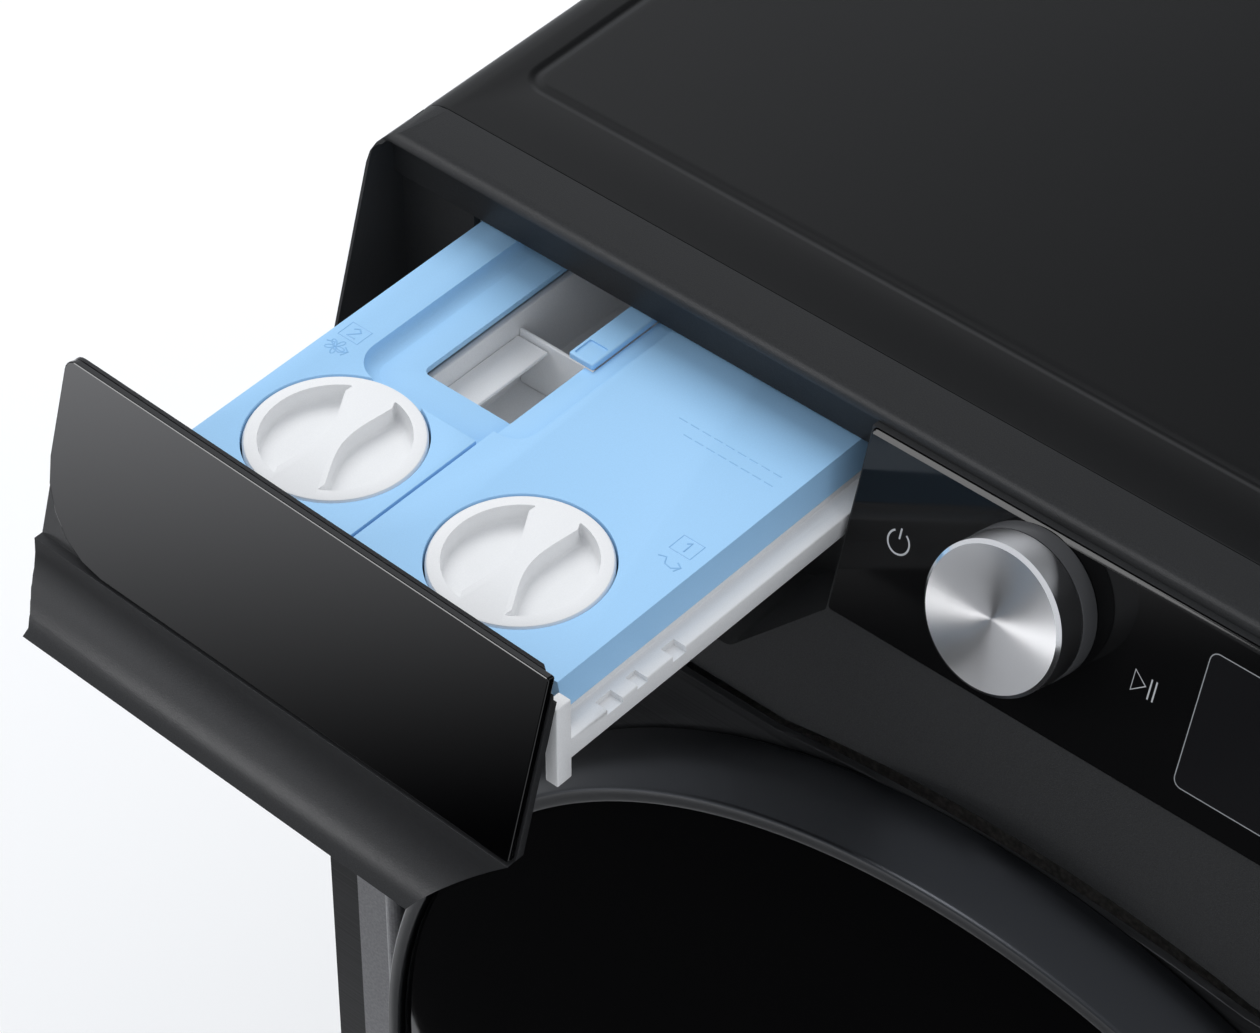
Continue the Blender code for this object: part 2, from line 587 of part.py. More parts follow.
def make_drawer_front():
    """Glass plate on a moulded carrier whose lower edge flares out into a finger lip."""
    face = rectangle((DRAWER_LEFT + 0.001, -GLASS_DROP), (DRAWER_RIGHT - 0.0006, 0),
                     (0.030, 0.001, 0.001, 0.004), 5)
    bowed(prism("drawer_glass", [face], DRAWER_GLASS, slope_plane(-DRAWER_GLASS / 2, DRAWER_PULL),
                GLOSS_BLACK))
    lip_z = drawer_lip_z()
    foot_z = lip_z + LIP_DROP - DRAWER_GLASS * math.sin(SLOPE) - GAP
    foot = slope_forward(foot_z)
    reach, drop = LIP_REACH - foot, foot_z - lip_z
    bends = [math.radians(90 * i / 7) for i in range(8)]
    outer = [(foot + reach * (1 - math.cos(t)), foot_z - drop * math.sin(t)) for t in bends]
    seat = DRAWER_GLASS + GAP
    root = seat + DRAWER_SKIN + 0.0010
    inner = [(f - root + (root - DRAWER_SKIN) * t * 2 / math.pi, z - DRAWER_SKIN * t / math.pi)
             for (f, z), t in zip(outer, bends)]
    over, under = DRAWER_TOP_Z + 0.002, DRAWER_TOP_Z - 0.008
    side = [(DRAWER_REAR, over), (slope_forward(over, seat), over), (slope_forward(foot_z, seat), foot_z)]
    side += outer + inner[::-1]
    side += [(slope_forward(under, seat + DRAWER_SKIN), under), (DRAWER_REAR, under)]
    pulled = [(f + DRAWER_PULL, z) for f, z in side]
    middle = (DRAWER_LEFT + DRAWER_RIGHT) / 2
    made = prism("drawer_front", [pulled], DRAWER_RIGHT - DRAWER_LEFT, side_plane(middle), BLACK_PLASTIC)
    shape = prism("drawer_front_face", [bay_outline(0, lip_z - 0.002, DRAWER_TOP_Z)], 0.20,
                  front_plane(DRAWER_PULL), BLACK_PLASTIC)
    rear, clip = DRAWER_PULL + DRAWER_REAR, 0.0065
    corner = [(DRAWER_RIGHT + 0.01, y_at(rear - 0.01)), (DRAWER_RIGHT - clip, y_at(rear - 0.01)),
              (DRAWER_RIGHT - clip, y_at(rear + 0.0008)), (DRAWER_RIGHT - 0.002, y_at(rear + 0.0040)),
              (DRAWER_RIGHT + 0.01, y_at(rear + 0.0040))]
    bowed(made)
    keep_inside(made, shape)
    return cut(made, prism("drawer_front_corner", [corner], 0.04, top_plane(under + 0.018), BLACK_PLASTIC))


def make_drawer_tray():
    """White tray: two liquid tanks, the open compartment and a running rail on each side."""
    front = DRAWER_PULL + 0.0100
    top = COVER_TOP - COVER_SKIRT - GAP
    rail_z = top - 0.010
    body_left, body_right = COVER_LEFT + 0.003, COVER_RIGHT - 0.0140
    near, far = y_at(front), y_at(-TRAY_REAR)
    made = box("drawer_tray", (body_left, near, TRAY_FLOOR), (body_right, far, top), WHITE_PLASTIC)
    rails = box("tray_rails", (RAIL_LEFT, near, rail_z), (RAIL_RIGHT, far, top - 0.002), WHITE_PLASTIC)
    rim = box("tray_rim", (COVER_LEFT, near, rail_z + 0.002), (COVER_RIGHT, far, top), WHITE_PLASTIC)
    reach = DRAWER_PULL + slope_forward(top - 0.002, DRAWER_GLASS + DRAWER_SKIN + 0.0017)
    nose = [(body_left, front - 0.001), (body_right, front - 0.001), (body_right, reach - 0.001),
            (body_left, reach - 0.001 - DRAWER_BOW * (body_right - body_left))]
    nose = prism("tray_nose", [[(x, y_at(f)) for x, f in nose]], 0.018, top_plane(top - 0.0105),
                 WHITE_PLASTIC)
    post_front = DRAWER_PULL + 0.0215
    link = box("tray_link", (RAIL_RIGHT - 0.0050, y_at(post_front), rail_z),
               (RAIL_RIGHT, y_at(front - 0.002), rail_z + 0.008), WHITE_PLASTIC)
    post = box("tray_post", (RAIL_RIGHT - 0.0050, y_at(post_front), rail_z - 0.008),
               (RAIL_RIGHT, y_at(DRAWER_PULL + HEADER_FRONT + 0.0012), COVER_TOP + 0.0040), WHITE_PLASTIC)
    join(made, rails, rim, nose, link, post)
    floor, over = TRAY_FLOOR + TRAY_WALL, top + 0.01
    divider = COVER_SPLIT + TRAY_WALL
    rear = -TRAY_REAR + TRAY_WALL
    left, ahead = body_left + TRAY_WALL, front - TRAY_WALL
    side, behind = WELL_LEFT - TRAY_WALL, WELL_FRONT + TRAY_WALL
    rooms = {
        "tank_right": [(divider + TRAY_WALL, ahead), (body_right - TRAY_WALL, ahead),
                       (body_right - TRAY_WALL, rear), (divider + TRAY_WALL, rear)],
        "tank_left": [(left, ahead), (divider - TRAY_WALL, ahead), (divider - TRAY_WALL, behind),
                      (side, behind), (side, rear), (left, rear)],
        "well": [(WELL_LEFT, WELL_FRONT), (COVER_SPLIT - 0.0005, WELL_FRONT),
                 (COVER_SPLIT - 0.0005, rear), (WELL_LEFT, rear)],
    }
    tools = [prism("tray_" + name, [[(x, y_at(f)) for x, f in room]], over - floor,
                   top_plane((floor + over) / 2), WHITE_PLASTIC) for name, room in rooms.items()]
    return cut(made, *tools)


def cap_hole(name, place):
    x, forward = place
    y = y_at(forward)
    return cylinder(name, (x, y, COVER_TOP - 0.03), (x, y, COVER_TOP + 0.02), CAP_RADIUS + 0.0007,
                    BLUE_PLASTIC, 32)


def make_covers():
    """Two blue mouldings over the tanks, open underneath, split along the drawer."""
    low = COVER_TOP - COVER_SKIRT
    front, rear = DRAWER_PULL + 0.0095, -TRAY_REAR + 0.001
    skin = 0.002
    for side, x0, x1, place in (("left", COVER_LEFT, COVER_SPLIT - 0.0003, CAP_LEFT_AT),
                                ("right", COVER_SPLIT + 0.0003, COVER_RIGHT, CAP_RIGHT_AT)):
        name = "cover_" + side
        made = box(name, (x0, y_at(front), low), (x1, y_at(rear), COVER_TOP), BLUE_PLASTIC)
        edge = skin + 0.001
        tools = [box(name + "_hollow", (x0 + skin, y_at(front - skin), low - 0.01),
                     (x1 - skin, y_at(rear + skin), COVER_TOP - edge), BLUE_PLASTIC),
                 cap_hole(name + "_cap_hole", place)]
        if side == "left":
            tools.append(box("cover_well", (WELL_LEFT, y_at(WELL_FRONT), low - 0.01),
                             (x1 + 0.01, y_at(rear - 0.01), COVER_TOP + 0.01), BLUE_PLASTIC))
            lip = box("cover_well_lip", (WELL_LEFT - skin, y_at(WELL_FRONT + skin), low),
                      (x1 - skin + 0.001, y_at(rear + 0.001), COVER_TOP - edge / 2), BLUE_PLASTIC)
            cut(made, tools[0])
            join(made, lip)
            cut(made, *tools[1:])
        else:
            half = 0.0085 + GAP
            tools.append(box("cover_tab_notch", (x0 - 0.01, y_at(TAB_AT + half), low - 0.01),
                             (x0 + 0.0055, y_at(TAB_AT - half), COVER_TOP + 0.01), BLUE_PLASTIC))
            cut(made, *tools)


def make_caps():
    """Screw-in tank caps with two finger pockets that leave a grip bar across the middle."""
    top = COVER_TOP + PROUD
    for name, place in (("cap_left", CAP_LEFT_AT), ("cap_right", CAP_RIGHT_AT)):
        x, y = place[0], y_at(place[1])
        neck = COVER_TOP - 0.0085
        profile = [(0, 0), (CAP_RADIUS - 0.001, 0), (CAP_RADIUS, -0.001), (CAP_RADIUS, neck - top),
                   (0, neck - top)]
        made = turned(name, profile, (x, y, top), WHITE_PLASTIC, 40, FACING_UP, closed=False)
        rim = bar = 0.0042
        pocket = CAP_RADIUS - rim
        lean = math.degrees(math.asin(bar / pocket))
        turn = Matrix.Rotation(math.radians(CAP_BAR_TURN), 4, "Z")
        for end, start in (("a", 0), ("b", 180)):
            half = arc((0, 0), pocket, start + lean, start + 180 - lean, 10)
            cut(made, prism("%s_pocket_%s" % (name, end), [half], 0.014,
                            Matrix.Translation((x, y, top)) @ turn, WHITE_PLASTIC))


def make_push_tab():
    """Release tab at the edge of the open compartment; it is pressed down to lift the drawer out."""
    half = 0.0085
    top = COVER_TOP + PROUD
    return box("push_tab", (COVER_SPLIT - 0.0085, y_at(TAB_AT + half), top - 0.0022),
               (COVER_SPLIT + 0.0055, y_at(TAB_AT - half), top), BLUE_PLASTIC)


def make_dispenser_housing():
    """Box behind the fascia in which the drawer runs, open at the front."""
    front, rear = FASCIA_REAR_WALL - GAP, 0.285
    wall = 0.0025
    low, high = (RAIL_LEFT - 0.0060, 0.7740), (RAIL_RIGHT + 0.0060, 0.8350)
    made = box("dispenser_housing", (low[0], y_at(front), low[1]), (high[0], y_at(-rear), high[1]),
               GREY_PLASTIC)
    room = box("housing_room", (low[0] + wall, y_at(front + 0.01), low[1] + wall),
               (high[0] - wall, y_at(-rear + wall), high[1] - wall), GREY_PLASTIC)
    drain = cylinder("housing_drain", (-0.180, y_at(-0.100), 0.760), (-0.180, y_at(-0.100), 0.790),
                     0.0150, GREY_PLASTIC, 20)
    return cut(made, room, drain)


def make_water_parts():
    """Dosing pump, inlet valve, filling hose and the hose from the dispenser to the tub."""
    rear = 0.285 + GAP
    pump = box("dosing_pump", (-0.235, y_at(-rear), 0.785), (-0.115, y_at(-rear - 0.030), 0.825),
               GREY_PLASTIC)
    heads = [cylinder("pump_head_%d" % i, (x, y_at(-rear - 0.025), 0.805), (x, y_at(-rear - 0.055), 0.805),
                      0.014, GREY_PLASTIC, 20) for i, x in enumerate((-0.205, -0.145))]
    join(pump, *heads)
    body = box("inlet_valve", (0.172, y_at(-0.455), VALVE_Z - 0.015),
               (0.253, y_at(-0.485), VALVE_Z + 0.015), WHITE_PLASTIC)
    ports = [cylinder("valve_port_%d" % i, (x, y_at(-0.480), VALVE_Z), (x, y_at(-VALVE_REACH), VALVE_Z),
                      0.0130, WHITE_PLASTIC, 20) for i, x in enumerate(VALVE_X)]
    join(body, *ports)
    path = [(0.1715, y_at(-0.470), VALVE_Z), (0.150, y_at(-0.470), VALVE_Z), (0.110, y_at(-0.462), 0.803),
            (0.050, y_at(-0.430), 0.808), (-0.010, y_at(-0.380), 0.812), (-0.045, y_at(-0.320), 0.813),
            (-0.052, y_at(-0.270), 0.812), (-0.058, y_at(-0.238), 0.812), (-0.066, y_at(-0.226), 0.812),
            (RAIL_RIGHT + 0.0065, y_at(-0.226), 0.812)]
    tube("fill_hose", path, 0.0065, RUBBER)
    drop = 0.7737
    hose = [(-0.180, y_at(-0.100), drop), (-0.180, y_at(-0.100), 0.762), (-0.172, y_at(-0.104), 0.748),
            (-0.152, y_at(-0.110), 0.734), (-0.135, y_at(-0.114), 0.722), (-0.126, y_at(-0.116), 0.716)]
    tube("dispenser_hose", hose, 0.0140, RUBBER, resolution=3)


# ---- door ---------------------------------------------------------------------------------------
def door_centre():
    return (0, SEAM_Y, DOOR_Z)


def make_door():
    """Round door: bevelled outer ring, dark outer glass, rear frame and the glass bowl."""
    base = PANEL_REACH + 0.0005
    nose = PANEL_REACH + RING_DEPTH + 0.0005
    seat = nose - 0.0085
    glass_r = DOOR_GLASS_RADIUS + GAP
    ring = [(glass_r, nose - 0.0015), (glass_r + 0.002, nose), (glass_r + 0.0048, nose - 0.0005),
            (RING_RADIUS, base + 0.0045), (RING_RADIUS, base), (DOOR_FLANGE + 0.0005, base),
            (DOOR_FLANGE + 0.0005, seat), (glass_r, seat)]
    turned("door_ring", ring, door_centre(), GLOSS_BLACK, 64)
    frame = [(DOOR_FLANGE, seat - 0.0002), (DOOR_FLANGE, base), (PORT_RADIUS + 0.0095, base),
             (PORT_RADIUS + 0.0095, 0.0450), (PORT_RADIUS, 0.0450), (PORT_RADIUS, seat - 0.0002)]
    turned("door_frame", frame, door_centre(), BLACK_PLASTIC, 48)
    pane = [(0, nose - 0.0007), (DOOR_GLASS_RADIUS - 0.0422, nose - 0.0013),
            (DOOR_GLASS_RADIUS, nose - 0.0025),
            (DOOR_GLASS_RADIUS, seat + GAP), (0, seat + GAP)]
    turned("door_glass", pane, door_centre(), TINTED_GLASS, 64, closed=False)
    rim = PORT_RADIUS - 0.0010
    bowl = [(0, -0.0260), (0.088, -0.0220), (0.116, -0.0090), (rim - 0.0065, 0.0700), (rim, 0.0700),
            (rim, 0.0660), (rim - 0.0025, 0.0660), (0.1205, -0.0110), (0.091, -0.0262), (0, -0.0300)]
    turned("porthole", bowl, door_centre(), TINTED_GLASS, 48, closed=False)


def make_hinge():
    """Bracket on the panel, pin, and the knuckle that carries the door."""
    y = y_at(HINGE_FORWARD)
    half, leaf = 0.055, 0.0195
    plate = PANEL_REACH + GAP
    bracket = box("hinge_bracket", (HINGE_X - 0.022, y_at(plate + 0.0022), DOOR_Z - half),
                  (HINGE_X + 0.0022, y_at(plate), DOOR_Z + half), CAST_METAL)
    knuckles = [cylinder("bracket_knuckle_%d" % i, (HINGE_X, y, DOOR_Z + s * (leaf + GAP)),
                         (HINGE_X, y, DOOR_Z + s * half), HINGE_KNUCKLE, CAST_METAL, 20)
                for i, s in enumerate((-1, 1))]
    notch = box("bracket_notch", (HINGE_X - 0.0046, y_at(plate + 0.01), DOOR_Z - leaf - GAP),
                (HINGE_X + 0.01, y_at(plate - 0.01), DOOR_Z + leaf + GAP), CAST_METAL)
    bore = cylinder("bracket_bore", (HINGE_X, y, DOOR_Z - half - 0.01), (HINGE_X, y, DOOR_Z + half + 0.01),
                    0.0021, CAST_METAL, 16)
    join(bracket, *knuckles)
    cut(bracket, notch, bore)
    cylinder("hinge_pin", (HINGE_X, y, DOOR_Z - half + 0.001), (HINGE_X, y, DOOR_Z + half - 0.001),
             0.0017, STAINLESS, 16)
    barrel = cylinder("hinge_leaf", (HINGE_X, y, DOOR_Z - leaf), (HINGE_X, y, DOOR_Z + leaf),
                      HINGE_KNUCKLE, CAST_METAL, 20)
    tab = box("leaf_tab", (HINGE_X, y - 0.0012, DOOR_Z - leaf),
              (-RING_RADIUS - 0.0005, y + 0.0022, DOOR_Z + leaf), CAST_METAL)
    hole = cylinder("leaf_bore", (HINGE_X, y, DOOR_Z - half), (HINGE_X, y, DOOR_Z + half), 0.0021,
                    CAST_METAL, 16)
    join(barrel, tab)
    cut(barrel, hole)


def make_latch():
    """Sprung hook on the door and the lock behind the panel that takes it."""
    base = PANEL_REACH - GAP
    half_z = 0.010
    hook = box("latch_hook", (HOOK_X - 0.0030, y_at(base), DOOR_Z - half_z),
               (HOOK_X + 0.0030, y_at(0.0460), DOOR_Z + half_z), STAINLESS)
    barb = box("hook_barb", (HOOK_X - 0.0048, y_at(0.0500), DOOR_Z - half_z),
               (HOOK_X, y_at(0.0460), DOOR_Z + half_z), STAINLESS)
    join(hook, barb)
    inside = PANEL_REACH - 0.0035
    lock = box("door_lock", (HOOK_X - 0.014, y_at(inside), DOOR_Z - 0.032),
               (HOOK_X + 0.016, y_at(0.0370), DOOR_Z + 0.032), WHITE_PLASTIC)
    slot = box("lock_slot", (HOOK_X - 0.007, y_at(inside + 0.01), DOOR_Z - 0.014),
               (HOOK_X + 0.009, y_at(0.0420), DOOR_Z + 0.014), WHITE_PLASTIC)
    cut(lock, slot)


def make_gasket():
    """Rubber bellows from the panel's door hole to the tub's mouth."""
    mouth = MOUTH_RADIUS
    outer = PANEL_HOLE - 0.0005
    profile = [(outer, 0.0572), (outer, 0.0350), (outer - 0.0045, 0.0300), (outer - 0.0005, 0.0240),
               (outer - 0.0005, 0.0080), (mouth + 0.007, 0.0000), (mouth + 0.004, -0.0030),
               (mouth + 0.001, -0.0030), (mouth + 0.001, 0.0010), (outer - 0.0055, 0.0090),
               (outer - 0.0055, 0.0230), (outer - 0.0090, 0.0295), (outer - 0.0055, 0.0360),
               (outer - 0.0055, 0.0572)]
    turned("door_gasket", profile, door_centre(), RUBBER, 48)


# ---- tub, drum and drive ------------------------------------------------------------------------
def make_tub():
    inner = TUB_RADIUS - TUB_WALL
    hub, hub_end = 0.046, TUB_REAR + 0.025
    front = [(MOUTH_RADIUS + 0.003, -TUB_FRONT + 0.006), (MOUTH_RADIUS + 0.010, -TUB_FRONT),
             (inner, -TUB_FRONT - 0.002), (TUB_RADIUS, -TUB_FRONT - 0.006), (TUB_RADIUS, -TUB_SPLIT),
             (inner, -TUB_SPLIT), (inner, -TUB_FRONT - 0.008), (inner - 0.003, -TUB_FRONT - 0.005),
             (MOUTH_RADIUS + 0.007, -TUB_FRONT - 0.003), (MOUTH_RADIUS, -TUB_FRONT + 0.003)]
    turned("tub_front", front, door_centre(), GREY_PLASTIC, 48)
    split = -TUB_SPLIT - GAP
    bore = 0.0315
    rear = [(TUB_RADIUS, split), (TUB_RADIUS, -TUB_REAR + 0.003), (inner, -TUB_REAR), (hub, -TUB_REAR),
            (hub, -hub_end), (bore, -hub_end), (bore, -TUB_REAR + 0.009), (hub, -TUB_REAR + 0.009),
            (hub, -TUB_REAR + 0.004), (inner, -TUB_REAR + 0.004), (inner, split)]
    turned("tub_rear", rear, door_centre(), GREY_PLASTIC, 48)
    ring = [(bore - GAP, -TUB_REAR + 0.006), (bore - GAP, -hub_end + 0.002),
            (SHAFT_RADIUS + GAP, -hub_end + 0.002), (SHAFT_RADIUS + GAP, -TUB_REAR + 0.006)]
    turned("drum_bearing", ring, door_centre(), STAINLESS, 32)


def make_drum():
    wall, radius = DRUM_SHEET, DRUM_RADIUS
    mouth = MOUTH_RADIUS + 0.010
    cup = [(0, -DRUM_REAR + wall), (radius - 0.005, -DRUM_REAR + wall), (radius - wall, -DRUM_REAR + 0.005),
           (radius - wall, -DRUM_FRONT - 0.006), (mouth, -DRUM_FRONT - wall), (mouth - 0.003, -DRUM_FRONT),
           (mouth, -DRUM_FRONT), (radius - 0.004, -DRUM_FRONT - 0.003), (radius, -DRUM_FRONT - 0.007),
           (radius, -DRUM_REAR + 0.005), (radius - 0.004, -DRUM_REAR), (0, -DRUM_REAR)]
    turned("drum", cup, door_centre(), STAINLESS, 48, closed=False)
    seat = radius - 0.0035
    for number, angle in enumerate((90, 210, 330), start=1):
        wedge = [(-0.020, -seat), (0.020, -seat), (0.009, -seat + 0.036), (-0.009, -seat + 0.036)]
        turn = Matrix.Translation((0, y_at(-(DRUM_FRONT + DRUM_REAR) / 2), DOOR_Z)) @ Matrix.Rotation(
            math.radians(angle + 90), 4, "Y") @ FACING_FRONT
        prism("drum_lifter_%d" % number, [wedge], 0.300, turn, WHITE_PLASTIC)
    front = -DRUM_REAR - GAP
    rear = front - 0.0085
    shaft = [(0, front), (0.040, front), (0.040, rear), (SHAFT_RADIUS, rear), (SHAFT_RADIUS, -0.462),
             (0, -0.462)]
    spider = turned("drum_spider", shaft, door_centre(), CAST_METAL, 32, closed=False)
    centre = Matrix.Translation((0, y_at((front + rear) / 2), DOOR_Z))
    arms = []
    for number, angle in enumerate((90, 210, 330), start=1):
        turn = Matrix.Rotation(math.radians(angle), 4, "Y") @ FACING_FRONT
        arms.append(prism("spider_arm_%d" % number, [rectangle((-0.016, 0.020), (0.016, 0.205))],
                          front - rear - 0.001, centre @ turn, CAST_METAL))
    join(spider, *arms)


def make_drive():
    """Belt drive: large pulley on the drum shaft, ribbed belt, motor pulley and motor."""
    half = BELT_WIDTH / 2 + 0.0005
    edge = half + 0.0020
    rim = PULLEY_RADIUS
    at = -PULLEY_Y
    wheel = [(rim + 0.002, at + edge), (rim + 0.002, at + half + 0.0005), (rim, at + half),
             (rim, at - half), (rim + 0.002, at - half - 0.0005), (rim + 0.002, at - edge),
             (rim - 0.006, at - edge), (rim - 0.006, at - 0.0025), (0.030, at - 0.0025),
             (0.030, at - 0.0110), (SHAFT_RADIUS + GAP, at - 0.0110), (SHAFT_RADIUS + GAP, at + edge),
             (0.030, at + edge), (0.030, at + 0.0025), (rim - 0.006, at + 0.0025), (rim - 0.006, at + edge)]
    turned("drum_pulley", wheel, door_centre(), CAST_METAL, 48)
    small = MOTOR_PULLEY_RADIUS
    shaft = [(0, at + 0.070), (0.006, at + 0.070), (0.006, at + edge), (small + 0.002, at + edge),
             (small + 0.002, at + half + 0.0005), (small, at + half), (small, at - half),
             (small + 0.002, at - half - 0.0005), (small + 0.002, at - edge), (0, at - edge)]
    motor_centre = (0, SEAM_Y, MOTOR_Z)
    turned("motor_pulley", shaft, motor_centre, STAINLESS, 24, closed=False)
    body = [(MOTOR_RADIUS - 0.004, -0.240), (MOTOR_RADIUS, -0.244), (MOTOR_RADIUS, -0.400),
            (MOTOR_RADIUS - 0.010, -0.410), (0.020, -0.410), (0.020, -0.425), (0.0066, -0.425),
            (0.0066, -0.360), (0, -0.360)]
    turned("motor", [(0, -0.240)] + body, motor_centre, CAST_METAL, 32, closed=False)

    def loop(grow):
        big, little, span = rim + grow, small + grow, DOOR_Z - MOTOR_Z
        lean = math.degrees(math.asin((big - little) / span))
        return arc((0, DOOR_Z), big, -lean, 180 + lean, 32) + arc((0, MOTOR_Z), little, 180 + lean,
                                                                  360 - lean, 10)
    prism("drive_belt", [loop(GAP + BELT_THICK), loop(GAP)], BELT_WIDTH, front_plane(at), RUBBER)


def make_weights():
    front = -TUB_FRONT + 0.0006
    ring = [(0.235, 0.030), (0.235, front), (0.176, front), (0.176, 0.030)]
    turned("counterweight_front", ring, door_centre(), CONCRETE, 48)
    block = box("counterweight_top", (0.030, y_at(-0.140), 0.660), (0.200, y_at(-0.330), 0.765), CONCRETE)
    cut(block, cylinder("weight_seat", (0, y_at(-0.120), DOOR_Z), (0, y_at(-0.350), DOOR_Z),
                        TUB_RADIUS + 0.001, CONCRETE, 64))


def make_suspension():
    """Two hanging springs and two friction dampers that carry the tub."""
    coil, wire, turns, around = 0.0110, 0.0015, 7, 10
    for name, side in (("spring_left", -1), ("spring_right", 1)):
        top = Vector((side * 0.283, y_at(-0.100), 0.768))
        end = Vector((side * 0.240, y_at(-0.100), 0.640))
        turn = (end - top).to_track_quat("Z", "Y").to_matrix()
        length = (end - top).length
        points = []
        for i in range(turns * around + 1):
            angle = 2 * math.pi * i / around
            local = Vector((coil * math.cos(angle), coil * math.sin(angle), length * i / (turns * around)))
            points.append(top + turn @ local)
        tube(name, points, wire, STAINLESS)
    for name, side in (("damper_left", -1), ("damper_right", 1)):
        low = Vector((side * 0.222, y_at(-0.200), BASE_Z + 0.016))
        high = Vector((side * 0.165, y_at(-0.200), DOOR_Z - 0.205))
        length = (high - low).length
        profile = [(0, length), (0.0085, length), (0.0085, length - 0.012), (0.005, length - 0.014),
                   (0.005, length * 0.62), (0.0130, length * 0.62 - 0.002), (0.0130, 0.012),
                   (0.0085, 0.010), (0.0085, 0), (0, 0)]
        facing = (high - low).to_track_quat("Z", "Y").to_matrix().to_4x4()
        turned(name, profile, low, GREY_PLASTIC, 20, facing, closed=False)


def make_drain():
    """Drain pump with its filter, and the flap in the front panel that covers it."""
    centre = (FLAP_X, SEAM_Y, FLAP_Z)
    housing = [(0.030, 0.0500), (0.030, -0.010), (0.026, -0.014), (0.026, -0.070), (0, -0.070)]
    bore = [(0, 0.012), (0.0246, 0.012), (0.0246, 0.0500)]
    turned("drain_pump", bore + housing, centre, GREY_PLASTIC, 32, closed=False)
    plug = [(0, 0.0556), (0.026, 0.0556), (0.026, 0.0503), (0.0240, 0.0503), (0.0240, 0.016), (0, 0.016)]
    cap = turned("filter_cap", plug, centre, BLUE_PLASTIC, 32, closed=False)
    notches = [box("cap_notch_%d" % i, (FLAP_X + low, y_at(0.060), FLAP_Z - 0.009),
                   (FLAP_X + high, y_at(0.0520), FLAP_Z + 0.009), BLUE_PLASTIC)
               for i, (low, high) in enumerate(((-0.024, -0.004), (0.004, 0.024)))]
    cut(cap, *notches)
    half_x, half_z = FLAP_SIZE[0] / 2 - 0.0005, FLAP_SIZE[1] / 2 - 0.0005
    flap = rectangle((FLAP_X - half_x, FLAP_Z - half_z), (FLAP_X + half_x, FLAP_Z + half_z), [0.001] * 4, 2)
    prism("filter_flap", [flap], 0.0028, front_plane(PANEL_REACH - 0.0015), BRUSHED_BLACK)


# ---- the machine --------------------------------------------------------------------------------
make_worktop()
make_cabinet()
make_front_panel()
make_fascia()
make_base_tray()
make_feet()
make_rear_panel()
make_cord_inlet()
make_control_panel()
make_drawer_front()
make_drawer_tray()
make_covers()
make_caps()
make_push_tab()
make_dispenser_housing()
make_water_parts()
make_door()
make_hinge()
make_latch()
make_gasket()
make_tub()
make_drum()
make_drive()
make_weights()
make_suspension()
make_drain()

objects = PARTS.objects
door_axis = pivot("door_axis", (HINGE_X, y_at(HINGE_FORWARD), DOOR_Z))
carry(door_axis, *[objects[n] for n in ("door_ring", "door_frame", "door_glass", "porthole", "hinge_leaf")])
hook_axis = pivot("hook_axis", (HOOK_X, y_at(PANEL_REACH), DOOR_Z))
carry(door_axis, hook_axis)
carry(hook_axis, objects["latch_hook"])
drum_axis = pivot("drum_axis", (0, y_at(-DRUM_REAR), DOOR_Z))
carry(drum_axis, *[objects[n] for n in ("drum", "drum_lifter_1", "drum_lifter_2", "drum_lifter_3",
                                        "drum_spider", "drum_pulley")])
drawer_axis = pivot("drawer_axis", (COVER_SPLIT, y_at(DRAWER_PULL), COVER_TOP))
carry(drawer_axis, *[objects[n] for n in ("drawer_glass", "drawer_front", "drawer_tray", "cover_left",
                                          "cover_right")])
for name, place in (("cap_left", CAP_LEFT_AT), ("cap_right", CAP_RIGHT_AT),
                    ("push_tab", (COVER_SPLIT, TAB_AT))):
    moving_axis = pivot(name + "_axis", (place[0], y_at(place[1]), COVER_TOP))
    carry(drawer_axis, moving_axis)
    carry(moving_axis, objects[name])
flap_axis = pivot("flap_axis", (FLAP_X, y_at(PANEL_REACH), FLAP_Z - FLAP_SIZE[1] / 2))
carry(flap_axis, objects["filter_flap"])
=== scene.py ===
"""Front load washing machine with its dispenser drawer pulled out, dressed for a studio view."""
import math

import bmesh
import bpy
from mathutils import Matrix, Vector


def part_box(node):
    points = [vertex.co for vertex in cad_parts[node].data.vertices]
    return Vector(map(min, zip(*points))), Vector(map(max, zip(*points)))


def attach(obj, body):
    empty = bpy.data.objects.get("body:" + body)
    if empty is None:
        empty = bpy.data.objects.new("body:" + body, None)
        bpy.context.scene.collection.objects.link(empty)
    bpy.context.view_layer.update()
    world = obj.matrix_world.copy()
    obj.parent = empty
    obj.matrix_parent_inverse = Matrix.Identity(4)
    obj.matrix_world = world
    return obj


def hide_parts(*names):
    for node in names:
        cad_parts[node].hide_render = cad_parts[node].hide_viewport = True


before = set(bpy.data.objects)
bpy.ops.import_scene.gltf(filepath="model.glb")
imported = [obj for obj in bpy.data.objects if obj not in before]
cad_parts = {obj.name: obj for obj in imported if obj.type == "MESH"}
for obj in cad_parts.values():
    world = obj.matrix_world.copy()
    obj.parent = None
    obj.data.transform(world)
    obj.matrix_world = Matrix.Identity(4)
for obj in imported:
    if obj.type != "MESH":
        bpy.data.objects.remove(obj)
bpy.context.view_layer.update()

# ---- Studio ----
# Pale floor, a white room and soft boxes overhead. A long lens looks down on the left front corner.
# Dark cards that only reflections see keep the glossy black pieces black.
world = bpy.data.worlds.new("studio")
bpy.context.scene.world = world
world.use_nodes = True
world.node_tree.nodes["Background"].inputs["Color"].default_value = (0.92, 0.95, 1.0, 1.0)
world.node_tree.nodes["Background"].inputs["Strength"].default_value = 0.66
bpy.context.scene.view_settings.view_transform = "Standard"


